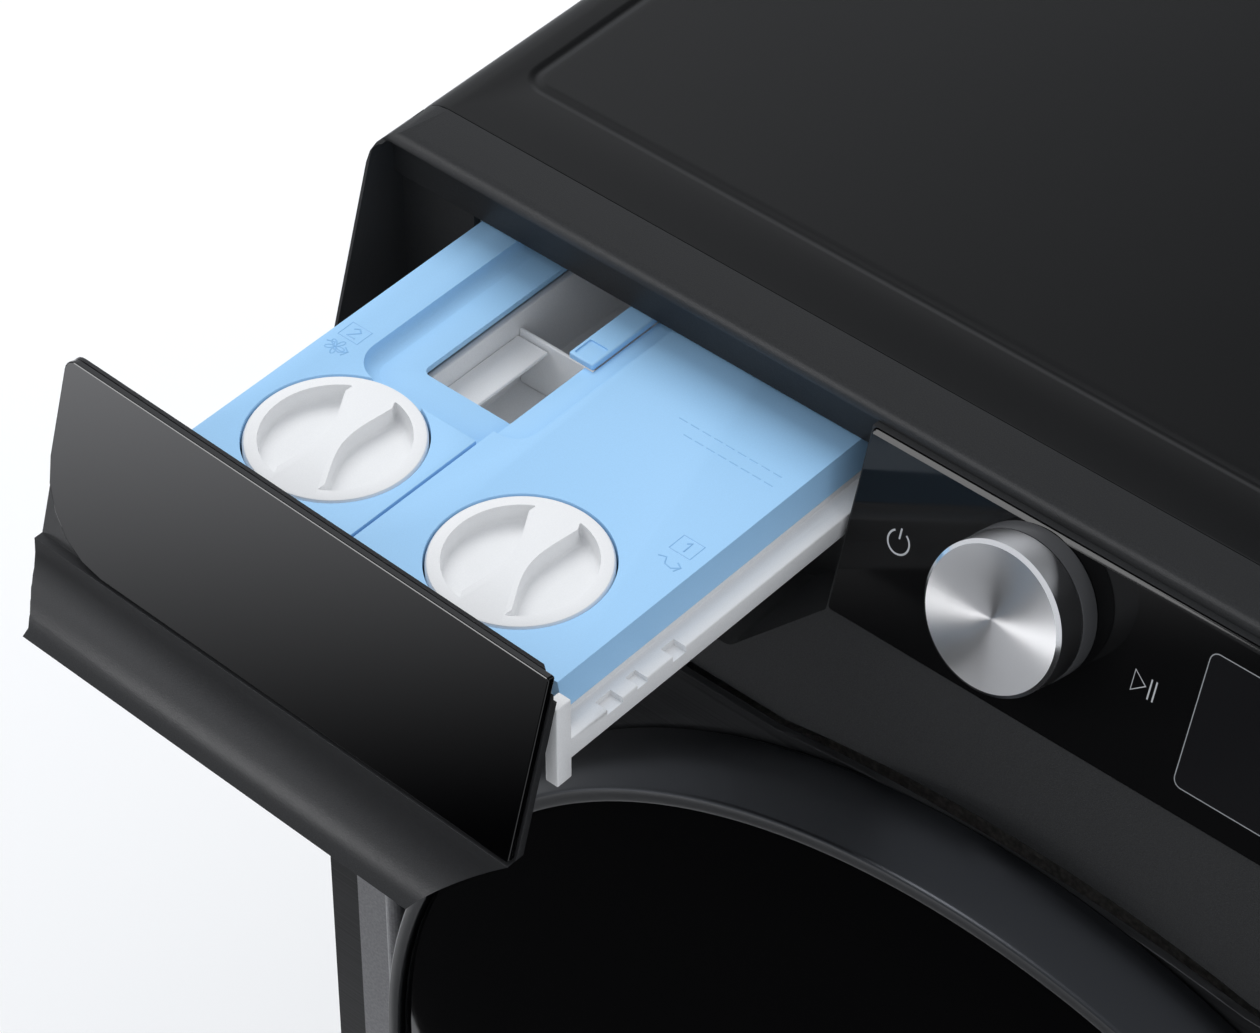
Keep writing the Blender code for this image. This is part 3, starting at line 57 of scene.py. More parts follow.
def plain(name, colour, roughness):
    made = bpy.data.materials.new(name)
    made.use_nodes = True
    shader = made.node_tree.nodes["Principled BSDF"]
    shader.inputs["Base Color"].default_value = (*colour, 1.0)
    shader.inputs["Roughness"].default_value = roughness
    return made


bpy.ops.object.select_all(action="DESELECT")
bpy.ops.mesh.primitive_plane_add(size=16.0, location=(0, 0, 0))
floor = bpy.context.object
floor.name = "studio_floor"
floor.data.materials.append(plain("studio_floor_paint", (0.96, 0.96, 0.96), 0.9))


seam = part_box("worktop")[0].y


def card(name, size, place, turn, light, fades=None):
    """A flat card that only reflections see. fades gives the two X places where its light starts and ends."""
    bpy.ops.object.select_all(action="DESELECT")
    bpy.ops.mesh.primitive_plane_add(size=1.0, location=place, rotation=turn)
    made = bpy.context.object
    made.name = name
    made.scale = (size[0], size[1], 1.0)
    made.visible_camera = made.visible_diffuse = made.visible_shadow = made.visible_transmission = False
    paint = plain(name + "_paint", (0.0, 0.0, 0.0), 1.0)
    shader = paint.node_tree.nodes["Principled BSDF"]
    shader.inputs["Specular IOR Level"].default_value = 0.0
    shader.inputs["Emission Color"].default_value = (*light, 1.0)
    shader.inputs["Emission Strength"].default_value = 1.0
    if fades:
        where = paint.node_tree.nodes.new("ShaderNodeTexCoord")
        apart = paint.node_tree.nodes.new("ShaderNodeSeparateXYZ")
        ramp = paint.node_tree.nodes.new("ShaderNodeMapRange")
        ramp.interpolation_type = "SMOOTHSTEP"
        ramp.inputs["From Min"].default_value = (fades[1] - place[0]) / size[0]
        ramp.inputs["From Max"].default_value = (fades[0] - place[0]) / size[0]
        shade = paint.node_tree.nodes.new("ShaderNodeMix")
        shade.data_type = "RGBA"
        shade.inputs["A"].default_value = (0.0, 0.0, 0.0, 1.0)
        shade.inputs["B"].default_value = (*light, 1.0)
        paint.node_tree.links.new(where.outputs["Object"], apart.inputs["Vector"])
        paint.node_tree.links.new(apart.outputs["X"], ramp.inputs["Value"])
        paint.node_tree.links.new(ramp.outputs["Result"], shade.inputs["Factor"])
        paint.node_tree.links.new(shade.outputs["Result"], shader.inputs["Emission Color"])
    made.data.materials.append(paint)


card("dark_card_floor", (7.0, 6.0), (0.6, -3.45, 0.02), (0, 0, 0), (0.02, 0.02, 0.021))
card("left_card_floor", (2.4, 3.2), (-2.25, -3.0, 0.03), (0, 0, 0), (3.6, 3.65, 3.8), (-2.55, -1.25))
card("roof_card", (7.0, 6.0), (0.6, 3.2, 3.0), (math.pi, 0, 0), (0.95, 0.97, 1.0), (-2.6, -1.3))


def soft_box(name, place, size, power):
    """A broad white lamp facing the floor, which doesn't show in reflections."""
    data = bpy.data.lights.new(name, "AREA")
    data.shape = "RECTANGLE"
    data.size, data.size_y = size
    data.energy = power
    made = bpy.data.objects.new(name, data)
    bpy.context.scene.collection.objects.link(made)
    made.location = place
    made.visible_glossy = False


soft_box("key_box", (-1.9, 0.9, 3.3), (2.2, 2.2), 62)
soft_box("front_box", (-1.6, -3.4, 2.6), (1.6, 1.6), 24)
soft_box("right_box", (2.8, 0.2, 2.6), (1.2, 2.0), 13)
glow_place = Vector((-1.9, -2.6, 2.3))
glow_turn = (Vector((0, -0.2, 0.8)) - glow_place).to_track_quat("Z", "Y").to_euler()
card("metal_glow", (1.3, 1.3), glow_place, glow_turn, (9.0, 9.0, 9.1))

lens = bpy.data.cameras.new("camera")
lens.sensor_width = 36.0
lens.lens = 142.86
lens.clip_start = 0.05
camera = bpy.data.objects.new("camera", lens)
camera.location = (0.6065, seam - 0.9292, 1.8805)
camera.rotation_euler = (math.radians(46.66), 0.0, math.radians(41.2))
bpy.context.scene.collection.objects.link(camera)
bpy.context.scene.camera = camera


# ---- Worktop ----
# Pressed steel sheet under satin black enamel. Its edge turns down all round, and a shallow soft groove
# runs round the flat top.
def grain_group():
    """Even fine speckle and grain for enamel, moulded plastic and rubber."""
    group = bpy.data.node_groups.new("fine_grain", "ShaderNodeTree")
    for name, kind, value in (("Colour", "NodeSocketColor", (0.02, 0.02, 0.02, 1)),
                              ("Speckle", "NodeSocketFloat", 0.2), ("Grain Scale", "NodeSocketFloat", 2500.0),
                              ("Roughness", "NodeSocketFloat", 0.4), ("Depth", "NodeSocketFloat", 0.1)):
        group.interface.new_socket(name, in_out="INPUT", socket_type=kind).default_value = value
    for name, kind in (("Colour", "NodeSocketColor"), ("Roughness", "NodeSocketFloat"),
                       ("Normal", "NodeSocketVector")):
        group.interface.new_socket(name, in_out="OUTPUT", socket_type=kind)
    nodes, links = group.nodes, group.links
    entry, leave = nodes.new("NodeGroupInput"), nodes.new("NodeGroupOutput")
    place = nodes.new("ShaderNodeTexCoord")
    fine, broad = nodes.new("ShaderNodeTexNoise"), nodes.new("ShaderNodeTexNoise")
    fine.inputs["Detail"].default_value = 2.0
    broad.inputs["Scale"].default_value = 7.0
    broad.inputs["Detail"].default_value = 3.0
    links.new(place.outputs["Object"], fine.inputs["Vector"])
    links.new(place.outputs["Object"], broad.inputs["Vector"])
    links.new(entry.outputs["Grain Scale"], fine.inputs["Scale"])
    spread = nodes.new("ShaderNodeMapRange")
    spread.inputs["From Min"].default_value = 0.35
    spread.inputs["From Max"].default_value = 0.72
    links.new(fine.outputs["Fac"], spread.inputs["Value"])
    lighter = nodes.new("ShaderNodeHueSaturation")
    lighter.inputs["Value"].default_value = 2.4
    links.new(entry.outputs["Colour"], lighter.inputs["Color"])
    amount = nodes.new("ShaderNodeMath")
    amount.operation = "MULTIPLY"
    links.new(spread.outputs["Result"], amount.inputs[0])
    links.new(entry.outputs["Speckle"], amount.inputs[1])
    mix = nodes.new("ShaderNodeMix")
    mix.data_type = "RGBA"
    links.new(amount.outputs[0], mix.inputs["Factor"])
    links.new(entry.outputs["Colour"], mix.inputs["A"])
    links.new(lighter.outputs["Color"], mix.inputs["B"])
    links.new(mix.outputs["Result"], leave.inputs["Colour"])
    shift = nodes.new("ShaderNodeMath")
    shift.operation = "MULTIPLY_ADD"
    shift.inputs[1].default_value = 0.10
    links.new(broad.outputs["Fac"], shift.inputs[0])
    links.new(entry.outputs["Roughness"], shift.inputs[2])
    links.new(shift.outputs[0], leave.inputs["Roughness"])
    bump = nodes.new("ShaderNodeBump")
    bump.inputs["Distance"].default_value = 0.0004
    links.new(fine.outputs["Fac"], bump.inputs["Height"])
    links.new(entry.outputs["Depth"], bump.inputs["Strength"])
    links.new(bump.outputs["Normal"], leave.inputs["Normal"])
    return group


FINE_GRAIN = grain_group()


def grained(name, colour, roughness, speckle=0.2, scale=2500.0, depth=0.1, metallic=0.0, coat=0.0,
            specular=0.5):
    """A finish on the fine-grain group with its own colour, speckle and gloss."""
    made = bpy.data.materials.new(name)
    made.use_nodes = True
    nodes, links = made.node_tree.nodes, made.node_tree.links
    shader = nodes["Principled BSDF"]
    shader.inputs["Metallic"].default_value = metallic
    shader.inputs["Coat Weight"].default_value = coat
    shader.inputs["Coat Roughness"].default_value = 0.08
    shader.inputs["Specular IOR Level"].default_value = specular
    grain = nodes.new("ShaderNodeGroup")
    grain.node_tree = FINE_GRAIN
    grain.inputs["Colour"].default_value = (*colour, 1.0)
    grain.inputs["Speckle"].default_value = speckle
    grain.inputs["Grain Scale"].default_value = scale
    grain.inputs["Roughness"].default_value = roughness - 0.05
    grain.inputs["Depth"].default_value = depth
    links.new(grain.outputs["Colour"], shader.inputs["Base Color"])
    links.new(grain.outputs["Roughness"], shader.inputs["Roughness"])
    links.new(grain.outputs["Normal"], shader.inputs["Normal"])
    return made


def pick_only(piece):
    bpy.ops.object.select_all(action="DESELECT")
    piece.select_set(True)
    bpy.context.view_layer.objects.active = piece


def settle(piece, angle=35.0):
    """Places the object at the origin with its place in its mesh, and smooths its faces."""
    pick_only(piece)
    bpy.ops.object.transform_apply(location=True, rotation=True, scale=True)
    bpy.ops.object.shade_smooth_by_angle(angle=math.radians(angle))
    return piece


def belongs(piece, body, slot, *nodes):
    """Says which body a piece rides on and which CAD nodes it stands for; slot is not used."""
    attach(piece, body)
    if nodes:
        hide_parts(*nodes)
    return piece


def coated(piece, paint, smooth=35.0):
    """Gives a piece its one finish and settles it."""
    piece.data.materials.clear()
    piece.data.materials.append(paint)
    return settle(piece, smooth)


def apply_modifiers(piece):
    pick_only(piece)
    for step in list(piece.modifiers):
        bpy.ops.object.modifier_apply(modifier=step.name)


def rounded(piece, width, segments=2, angle=30.0):
    """Rounds a piece's edges over."""
    edge = piece.modifiers.new("edges", "BEVEL")
    edge.width = width
    edge.segments = segments
    edge.limit_method = "ANGLE"
    edge.angle_limit = math.radians(angle)
    edge.use_clamp_overlap = True
    apply_modifiers(piece)
    return piece


def eased(name, node, body, paint, width, segments=2, angle=30.0, smooth=35.0):
    """A copy of a CAD node with its edges eased, which stands for it."""
    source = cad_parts[node]
    piece = bpy.data.objects.new(name, source.data.copy())
    bpy.context.scene.collection.objects.link(piece)
    pick_only(piece)
    bpy.ops.object.mode_set(mode="EDIT")
    bpy.ops.mesh.select_all(action="SELECT")
    bpy.ops.mesh.remove_doubles(threshold=0.00001)
    bpy.ops.mesh.dissolve_limited(angle_limit=math.radians(0.4))
    bpy.ops.object.mode_set(mode="OBJECT")
    if width:
        rounded(piece, width, segments, angle)
    coated(piece, paint, smooth)
    return belongs(piece, body, node, node)


def dress(node, paint):
    """Gives a CAD node that keeps its shape a better finish."""
    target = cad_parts[node]
    target.data.materials.clear()
    target.data.materials.append(paint)


def at(forward):
    """Y of a distance forward of the seam between worktop and fascia."""
    return seam - forward


def flat_outline(name, points):
    """A filled outline through points in the XY plane."""
    bpy.ops.object.select_all(action="DESELECT")
    bpy.ops.mesh.primitive_circle_add(vertices=len(points), radius=1.0, fill_type="NGON")
    made = bpy.context.object
    made.name = name
    for vertex, point in zip(made.data.vertices, points):
        vertex.co = (point[0], point[1], 0.0)
    return made


def extruded(piece, step):
    """Gives a filled outline its thickness."""
    pick_only(piece)
    bpy.ops.object.mode_set(mode="EDIT")
    bpy.ops.mesh.select_all(action="SELECT")
    bpy.ops.mesh.extrude_region_move(TRANSFORM_OT_translate={"value": step})
    bpy.ops.mesh.select_all(action="SELECT")
    bpy.ops.mesh.normals_make_consistent(inside=False)
    bpy.ops.object.mode_set(mode="OBJECT")
    return piece


def corner_arc(centre, radius, start, end, steps):
    turns = [math.radians(start + (end - start) * i / steps) for i in range(steps + 1)]
    return [(centre[0] + radius * math.cos(t), centre[1] + radius * math.sin(t)) for t in turns]


def round_rectangle(low, high, radius, steps=6):
    """Points of a rectangle with round corners, anticlockwise from the lower left."""
    (x0, y0), (x1, y1), r = low, high, radius
    corners = (((x0 + r, y0 + r), 180), ((x1 - r, y0 + r), 270),
               ((x1 - r, y1 - r), 0), ((x0 + r, y1 - r), 90))
    return [point for centre, start in corners for point in corner_arc(centre, r, start, start + 90, steps)]


def cut_by(piece, cutter):
    """Cuts a shape out of a piece and removes the cutter."""
    step = piece.modifiers.new("cut", "BOOLEAN")
    step.operation = "DIFFERENCE"
    step.object = cutter
    step.solver = "EXACT"
    apply_modifiers(piece)
    bpy.data.objects.remove(cutter, do_unlink=True)
    return piece


enamel = grained("black_enamel", (0.0060, 0.0062, 0.0066), 0.36, speckle=0.25, scale=1800, depth=0.05,
                 specular=0.38)
low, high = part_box("worktop")
sheet_top = high.z
sheet_wall = 0.0018
bpy.ops.object.select_all(action="DESELECT")
bpy.ops.mesh.primitive_cube_add(size=1.0, location=(low + high) / 2)
worktop = bpy.context.object
worktop.name = "worktop_sheet"
worktop.scale = high - low
bpy.ops.object.transform_apply(location=True, rotation=True, scale=True)
bpy.ops.object.mode_set(mode="EDIT")
bpy.ops.mesh.select_mode(type="EDGE")
bpy.ops.mesh.select_all(action="DESELECT")
bpy.ops.object.mode_set(mode="OBJECT")
for edge in worktop.data.edges:
    ends = [worktop.data.vertices[i].co for i in edge.vertices]
    edge.select = all(end.z > high.z - 0.001 for end in ends) and abs(ends[0].x - ends[1].x) < 0.001
bpy.ops.object.mode_set(mode="EDIT")
bpy.ops.mesh.bevel(offset=0.014, segments=8, affect="EDGES")
bpy.ops.object.mode_set(mode="OBJECT")
rounded(worktop, 0.0007, 2, 40.0)
bpy.ops.object.select_all(action="DESELECT")
cavity = flat_outline("worktop_underside", round_rectangle((low.x + sheet_wall, low.y + sheet_wall),
                                                           (high.x - sheet_wall, high.y - sheet_wall), 0.004))
cavity.location.z = low.z - 0.01
settle(cavity)
extruded(cavity, (0, 0, high.z - 0.0165 - low.z + 0.01))
cut_by(worktop, cavity)
groove_low, groove_high = (low.x + 0.0196, at(-0.0250)), (high.x - 0.0196, high.y - 0.0250)
groove = flat_outline("groove_cut", round_rectangle(groove_low, groove_high, 0.0110, 10))
groove.location.z = sheet_top
settle(groove)
bpy.ops.object.mode_set(mode="EDIT")
bpy.ops.mesh.select_all(action="SELECT")
for thickness, depth in ((0.0010, -0.00012), (0.0010, -0.00042), (0.0010, -0.00026), (0.0010, 0.00026),
                         (0.0010, 0.00042), (0.0010, 0.00012)):
    bpy.ops.mesh.inset(thickness=thickness, depth=depth)
bpy.ops.object.mode_set(mode="OBJECT")
shape = bmesh.new()
shape.from_mesh(groove.data)
flat = max(shape.faces, key=lambda face: face.calc_area())
bmesh.ops.delete(shape, geom=[flat], context="FACES_ONLY")
shape.to_mesh(groove.data)
shape.free()
# The groove's strip is closed above the sheet, so that it cuts as a solid.
pick_only(groove)
bpy.ops.object.mode_set(mode="EDIT")
bpy.ops.mesh.select_all(action="DESELECT")
bpy.ops.mesh.select_non_manifold()
bpy.ops.mesh.extrude_region_move(TRANSFORM_OT_translate={"value": (0, 0, 0.002)})
bpy.ops.mesh.select_non_manifold()
bpy.ops.mesh.bridge_edge_loops()
bpy.ops.mesh.select_all(action="SELECT")
bpy.ops.mesh.normals_make_consistent(inside=False)
bpy.ops.object.mode_set(mode="OBJECT")
cut_by(worktop, groove)
coated(worktop, enamel, 30.0)
belongs(worktop, "machine", "worktop", "worktop")

# ---- Cabinet, rear panel and base ----
# Folded sheet steel in the worktop's enamel, on a galvanised pan and four rubber-soled screw feet.
side_enamel = grained("cabinet_enamel", (0.010, 0.0103, 0.011), 0.42, speckle=0.2, scale=1600, depth=0.08,
                      specular=0.3)
dress("cabinet", side_enamel)
dress("rear_panel", side_enamel)
zinc = grained("zinc_coat", (0.42, 0.43, 0.44), 0.45, speckle=0.35, scale=160, depth=0.03, metallic=0.9)
dress("base_tray", zinc)
foot_rubber = grained("foot_rubber", (0.030, 0.030, 0.031), 0.75, speckle=0.2, scale=900, depth=0.25)
for node in ("foot_front_left", "foot_front_right", "foot_rear_left", "foot_rear_right", "cord_inlet"):
    dress(node, foot_rubber)

# ---- Fascia ----
# One moulding in matte black, with a fine speckled grain: the top strip, the bay round the drawer and the
# surround of the control glass.
moulding = grained("fascia_plastic", (0.0155, 0.0160, 0.0168), 0.48, speckle=0.55, scale=2600, depth=0.22,
                   specular=0.28)
eased("fascia_moulding", "fascia", "machine", moulding, 0.0006, 2, 35.0, smooth=20.0)


# ---- Front panel ----
# Brushed sheet under a dark tint. The brushing runs level across the machine.
def brush_group():
    """Long fine scratches along the X axis."""
    group = bpy.data.node_groups.new("brushing", "ShaderNodeTree")
    for name, kind, value in (("Colour", "NodeSocketColor", (0.03, 0.03, 0.03, 1)),
                              ("Contrast", "NodeSocketFloat", 0.5), ("Roughness", "NodeSocketFloat", 0.35),
                              ("Depth", "NodeSocketFloat", 0.1)):
        group.interface.new_socket(name, in_out="INPUT", socket_type=kind).default_value = value
    for name, kind in (("Colour", "NodeSocketColor"), ("Roughness", "NodeSocketFloat"),
                       ("Normal", "NodeSocketVector")):
        group.interface.new_socket(name, in_out="OUTPUT", socket_type=kind)
    nodes, links = group.nodes, group.links
    entry, leave = nodes.new("NodeGroupInput"), nodes.new("NodeGroupOutput")
    place, stretch = nodes.new("ShaderNodeTexCoord"), nodes.new("ShaderNodeMapping")
    stretch.inputs["Scale"].default_value = (6.0, 900.0, 900.0)
    streaks = nodes.new("ShaderNodeTexNoise")
    streaks.inputs["Scale"].default_value = 1.0
    streaks.inputs["Detail"].default_value = 4.0
    links.new(place.outputs["Object"], stretch.inputs["Vector"])
    links.new(stretch.outputs["Vector"], streaks.inputs["Vector"])
    spread = nodes.new("ShaderNodeMapRange")
    spread.inputs["From Min"].default_value = 0.3
    spread.inputs["From Max"].default_value = 0.75
    links.new(streaks.outputs["Fac"], spread.inputs["Value"])
    amount = nodes.new("ShaderNodeMath")
    amount.operation = "MULTIPLY"
    links.new(spread.outputs["Result"], amount.inputs[0])
    links.new(entry.outputs["Contrast"], amount.inputs[1])
    lighter = nodes.new("ShaderNodeHueSaturation")
    lighter.inputs["Value"].default_value = 2.0
    links.new(entry.outputs["Colour"], lighter.inputs["Color"])
    mix = nodes.new("ShaderNodeMix")
    mix.data_type = "RGBA"
    links.new(amount.outputs[0], mix.inputs["Factor"])
    links.new(entry.outputs["Colour"], mix.inputs["A"])
    links.new(lighter.outputs["Color"], mix.inputs["B"])
    links.new(mix.outputs["Result"], leave.inputs["Colour"])
    shift = nodes.new("ShaderNodeMath")
    shift.operation = "MULTIPLY_ADD"
    shift.inputs[1].default_value = 0.12
    links.new(streaks.outputs["Fac"], shift.inputs[0])
    links.new(entry.outputs["Roughness"], shift.inputs[2])
    links.new(shift.outputs[0], leave.inputs["Roughness"])
    bump = nodes.new("ShaderNodeBump")
    bump.inputs["Distance"].default_value = 0.0003
    links.new(streaks.outputs["Fac"], bump.inputs["Height"])
    links.new(entry.outputs["Depth"], bump.inputs["Strength"])
    links.new(bump.outputs["Normal"], leave.inputs["Normal"])
    return group


BRUSHING = brush_group()


def brushed(name, colour, roughness, contrast, depth, metallic, specular=0.5):
    made = bpy.data.materials.new(name)
    made.use_nodes = True
    nodes, links = made.node_tree.nodes, made.node_tree.links
    shader = nodes["Principled BSDF"]
    shader.inputs["Metallic"].default_value = metallic
    shader.inputs["Specular IOR Level"].default_value = specular
    lines = nodes.new("ShaderNodeGroup")
    lines.node_tree = BRUSHING
    lines.inputs["Colour"].default_value = (*colour, 1.0)
    lines.inputs["Contrast"].default_value = contrast
    lines.inputs["Roughness"].default_value = roughness - 0.06
    lines.inputs["Depth"].default_value = depth
    links.new(lines.outputs["Colour"], shader.inputs["Base Color"])
    links.new(lines.outputs["Roughness"], shader.inputs["Roughness"])
    links.new(lines.outputs["Normal"], shader.inputs["Normal"])
    return made


tinted_brushed = brushed("tinted_brushed_sheet", (0.0200, 0.0204, 0.0214), 0.40, 0.9, 0.25, 0.5, 0.3)
eased("front_sheet", "front_panel", "machine", tinted_brushed, 0.0004, 1, 50.0, smooth=10.0)
dress("filter_flap", tinted_brushed)

# ---- Control glass and display ----
# One long strip of back-printed glass, polished on its upper edge. A darker window with a fine light frame
# shows the programme.
LEAN = math.radians(17.3)
UP_SLOPE = Vector((0, math.sin(LEAN), math.cos(LEAN)))
OFF_SLOPE = Vector((0, -math.cos(LEAN), math.sin(LEAN)))
slope_top = Vector((0, at(0.024), sheet_top - 0.0055))
ON_SLOPE = Matrix.Translation(slope_top) @ Matrix.Rotation(math.radians(90) - LEAN, 4, "X")
glass_left, glass_right, glass_drop = -0.0865, 0.292, 0.066


def gloss(name, colour, roughness=0.04, specular=0.5, coat=0.0):
    """Polished black glass or lacquer, very slightly uneven in its gloss."""
    made = bpy.data.materials.new(name)
    made.use_nodes = True
    nodes, links = made.node_tree.nodes, made.node_tree.links
    shader = nodes["Principled BSDF"]
    shader.inputs["Base Color"].default_value = (*colour, 1.0)
    shader.inputs["Specular IOR Level"].default_value = specular
    shader.inputs["Coat Weight"].default_value = coat
    place, noise = nodes.new("ShaderNodeTexCoord"), nodes.new("ShaderNodeTexNoise")
    noise.inputs["Scale"].default_value = 14.0
    links.new(place.outputs["Object"], noise.inputs["Vector"])
    spread = nodes.new("ShaderNodeMapRange")
    spread.inputs["To Min"].default_value = roughness
    spread.inputs["To Max"].default_value = roughness + 0.03
    links.new(noise.outputs["Fac"], spread.inputs["Value"])
    links.new(spread.outputs["Result"], shader.inputs["Roughness"])
    return made


black_glass = gloss("black_glass", (0.0010, 0.0010, 0.0012), 0.03)
panel_glass = gloss("panel_glass", (0.0046, 0.0046, 0.0048), 0.06, 0.2)


def onto_slope(piece, lift=0.0):
    piece.matrix_world = ON_SLOPE @ Matrix.Translation((0, 0, lift))
    return settle(piece)


def slope_plate(name, points, thickness, lift, paint, body="machine", slot="control_glass"):
    """A thin plate on the control face, its back lift above the glass."""
    piece = extruded(flat_outline(name, points), (0, 0, thickness))
    piece.data.materials.append(paint)
    onto_slope(piece, lift)
    return belongs(piece, body, slot)


low, high = (glass_left, -glass_drop), (glass_right, 0.0)
pane = extruded(flat_outline("control_glass_pane", round_rectangle(low, high, 0.0015, 3)), (0, 0, -0.004))
pane.data.materials.append(panel_glass)
rounded(pane, 0.0004, 2, 60.0)
for vertex in pane.data.vertices:
    if vertex.co.y > -0.0006 and vertex.co.z > -0.0008:
        vertex.co.z -= 0.0005
pick_only(pane)
bpy.ops.object.mode_set(mode="EDIT")
bpy.ops.mesh.select_all(action="SELECT")
bpy.ops.mesh.bisect(plane_co=(0, -0.0018, 0), plane_no=(0, 1, 0))
bpy.ops.object.mode_set(mode="OBJECT")
for vertex in pane.data.vertices:
    if vertex.co.y > -0.0019 and vertex.co.y < -0.0017 and vertex.co.z > -0.002:
        vertex.co.z = 0.0
onto_slope(pane)
settle(pane, 12.0)
belongs(pane, "machine", "control_glass", "control_glass")

screen = gloss("display_window", (0.010, 0.010, 0.011), 0.05)
frame_line = plain("display_frame_print", (0.30, 0.31, 0.32), 0.4)
window_low, window_high = (0.0455, -0.0565), (0.2205, -0.0085)
window = slope_plate("display_window", round_rectangle(window_low, window_high, 0.003, 5), 0.00016, 0.00002,
                     screen, slot="display")
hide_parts("display")


def bead(name, points, width, closed):
    """A thin bead of one width along points in the XY plane, as a mesh."""
    path = bpy.data.curves.new(name, "CURVE")
    path.dimensions = "3D"
    path.bevel_depth = width / 2
    path.bevel_resolution = 1
    path.use_fill_caps = True
    spline = path.splines.new("POLY")
    spline.points.add(len(points) - 1)
    for point, (x, y) in zip(spline.points, points):
        point.co = (x, y, 0.0, 1.0)
    spline.use_cyclic_u = closed
    holder = bpy.data.objects.new(name + "_path", path)
    bpy.context.scene.collection.objects.link(holder)
    pick_only(holder)
    bpy.ops.object.convert(target="MESH")
    piece = bpy.context.object
    piece.name = name
    return piece


def slope_line(name, points, width, paint, lift=0.0002, closed=False):
    """A printed line of one width along points on the control face."""
    piece = bead(name, points, width, closed)
    for vertex in piece.data.vertices:
        vertex.co.z = max(vertex.co.z, -0.00005) * 0.2
    piece.data.materials.clear()
    piece.data.materials.append(paint)
    onto_slope(piece, lift)
    return belongs(piece, "machine", "display")


slope_line("display_frame", round_rectangle(window_low, window_high, 0.003, 5), 0.00035, frame_line,
           closed=True)
print_light = plain("icon_print", (0.50, 0.51, 0.52), 0.45)
power_at = (-0.0675, -0.0314)
slope_line("power_ring", corner_arc(power_at, 0.0041, 122, 418, 28), 0.00065, print_light, 0.00005)
slope_line("power_bar", [(power_at[0], power_at[1] + 0.0012), (power_at[0], power_at[1] + 0.0050)], 0.00065,
           print_light, 0.00005)
slope_line("play_mark", [(0.0230, -0.0277), (0.0230, -0.0350), (0.0277, -0.0314)], 0.00055, print_light,
           0.00005, closed=True)
slope_line("pause_bar_1", [(0.0293, -0.0280), (0.0293, -0.0351)], 0.00055, print_light, 0.00005)
slope_line("pause_bar_2", [(0.0311, -0.0280), (0.0311, -0.0351)], 0.00055, print_light, 0.00005)

# ---- Dial ----
# Turned aluminium knob with a spun face and a bright polished chamfer. It stands on a dark gloss ring.
dial_x, dial_down, dial_radius = -0.0185, 0.026, 0.0253
dial_centre = slope_top + Vector((dial_x, 0, 0)) - UP_SLOPE * dial_down


def spun(name, profile, centre, axis, across_axis, paint, steps=160, smooth=35.0):
    """A profile of (radius, height) points spun about an axis, closed into a ring or a solid."""
    bpy.ops.object.select_all(action="DESELECT")
    bpy.ops.mesh.primitive_circle_add(vertices=len(profile), radius=1.0, fill_type="NOTHING")
    made = bpy.context.object
    made.name = name
    axis, across_axis, centre = Vector(axis), Vector(across_axis), Vector(centre)
    for vertex, (radius, height) in zip(made.data.vertices, profile):
        vertex.co = centre + across_axis * radius + axis * height
    bpy.ops.object.transform_apply(location=True, rotation=True, scale=True)
    bpy.ops.object.mode_set(mode="EDIT")
    bpy.ops.mesh.select_all(action="SELECT")
    bpy.ops.mesh.spin(steps=steps, angle=math.tau, center=centre, axis=axis)
    bpy.ops.mesh.select_all(action="SELECT")
    bpy.ops.mesh.remove_doubles(threshold=0.00001)
    bpy.ops.mesh.normals_make_consistent(inside=False)
    bpy.ops.object.mode_set(mode="OBJECT")
    made.data.materials.append(paint)
    return settle(made, smooth)


def spun_metal(name, colour, roughness, anisotropy, depth=0.06):
    """Metal with fine circular tool marks, from the piece's own UV map."""
    made = bpy.data.materials.new(name)
    made.use_nodes = True
    nodes, links = made.node_tree.nodes, made.node_tree.links
    shader = nodes["Principled BSDF"]
    shader.inputs["Base Color"].default_value = (*colour, 1.0)
    shader.inputs["Metallic"].default_value = 1.0
    shader.inputs["Anisotropic"].default_value = anisotropy
    tangent = nodes.new("ShaderNodeTangent")
    tangent.direction_type = "UV_MAP"
    tangent.uv_map = "turning"
    links.new(tangent.outputs["Tangent"], shader.inputs["Tangent"])
    place, stretch = nodes.new("ShaderNodeUVMap"), nodes.new("ShaderNodeMapping")
    place.uv_map = "turning"
    stretch.inputs["Scale"].default_value = (3.0, 260.0, 1.0)
    marks = nodes.new("ShaderNodeTexNoise")
    marks.inputs["Scale"].default_value = 1.0
    marks.inputs["Detail"].default_value = 3.0
    links.new(place.outputs["UV"], stretch.inputs["Vector"])
    links.new(stretch.outputs["Vector"], marks.inputs["Vector"])
    spread = nodes.new("ShaderNodeMapRange")
    spread.inputs["To Min"].default_value = roughness - 0.05
    spread.inputs["To Max"].default_value = roughness + 0.06
    links.new(marks.outputs["Fac"], spread.inputs["Value"])
    links.new(spread.outputs["Result"], shader.inputs["Roughness"])
    bump = nodes.new("ShaderNodeBump")
    bump.inputs["Strength"].default_value = depth
    bump.inputs["Distance"].default_value = 0.0002
    links.new(marks.outputs["Fac"], bump.inputs["Height"])
    links.new(bump.outputs["Normal"], shader.inputs["Normal"])
    return made


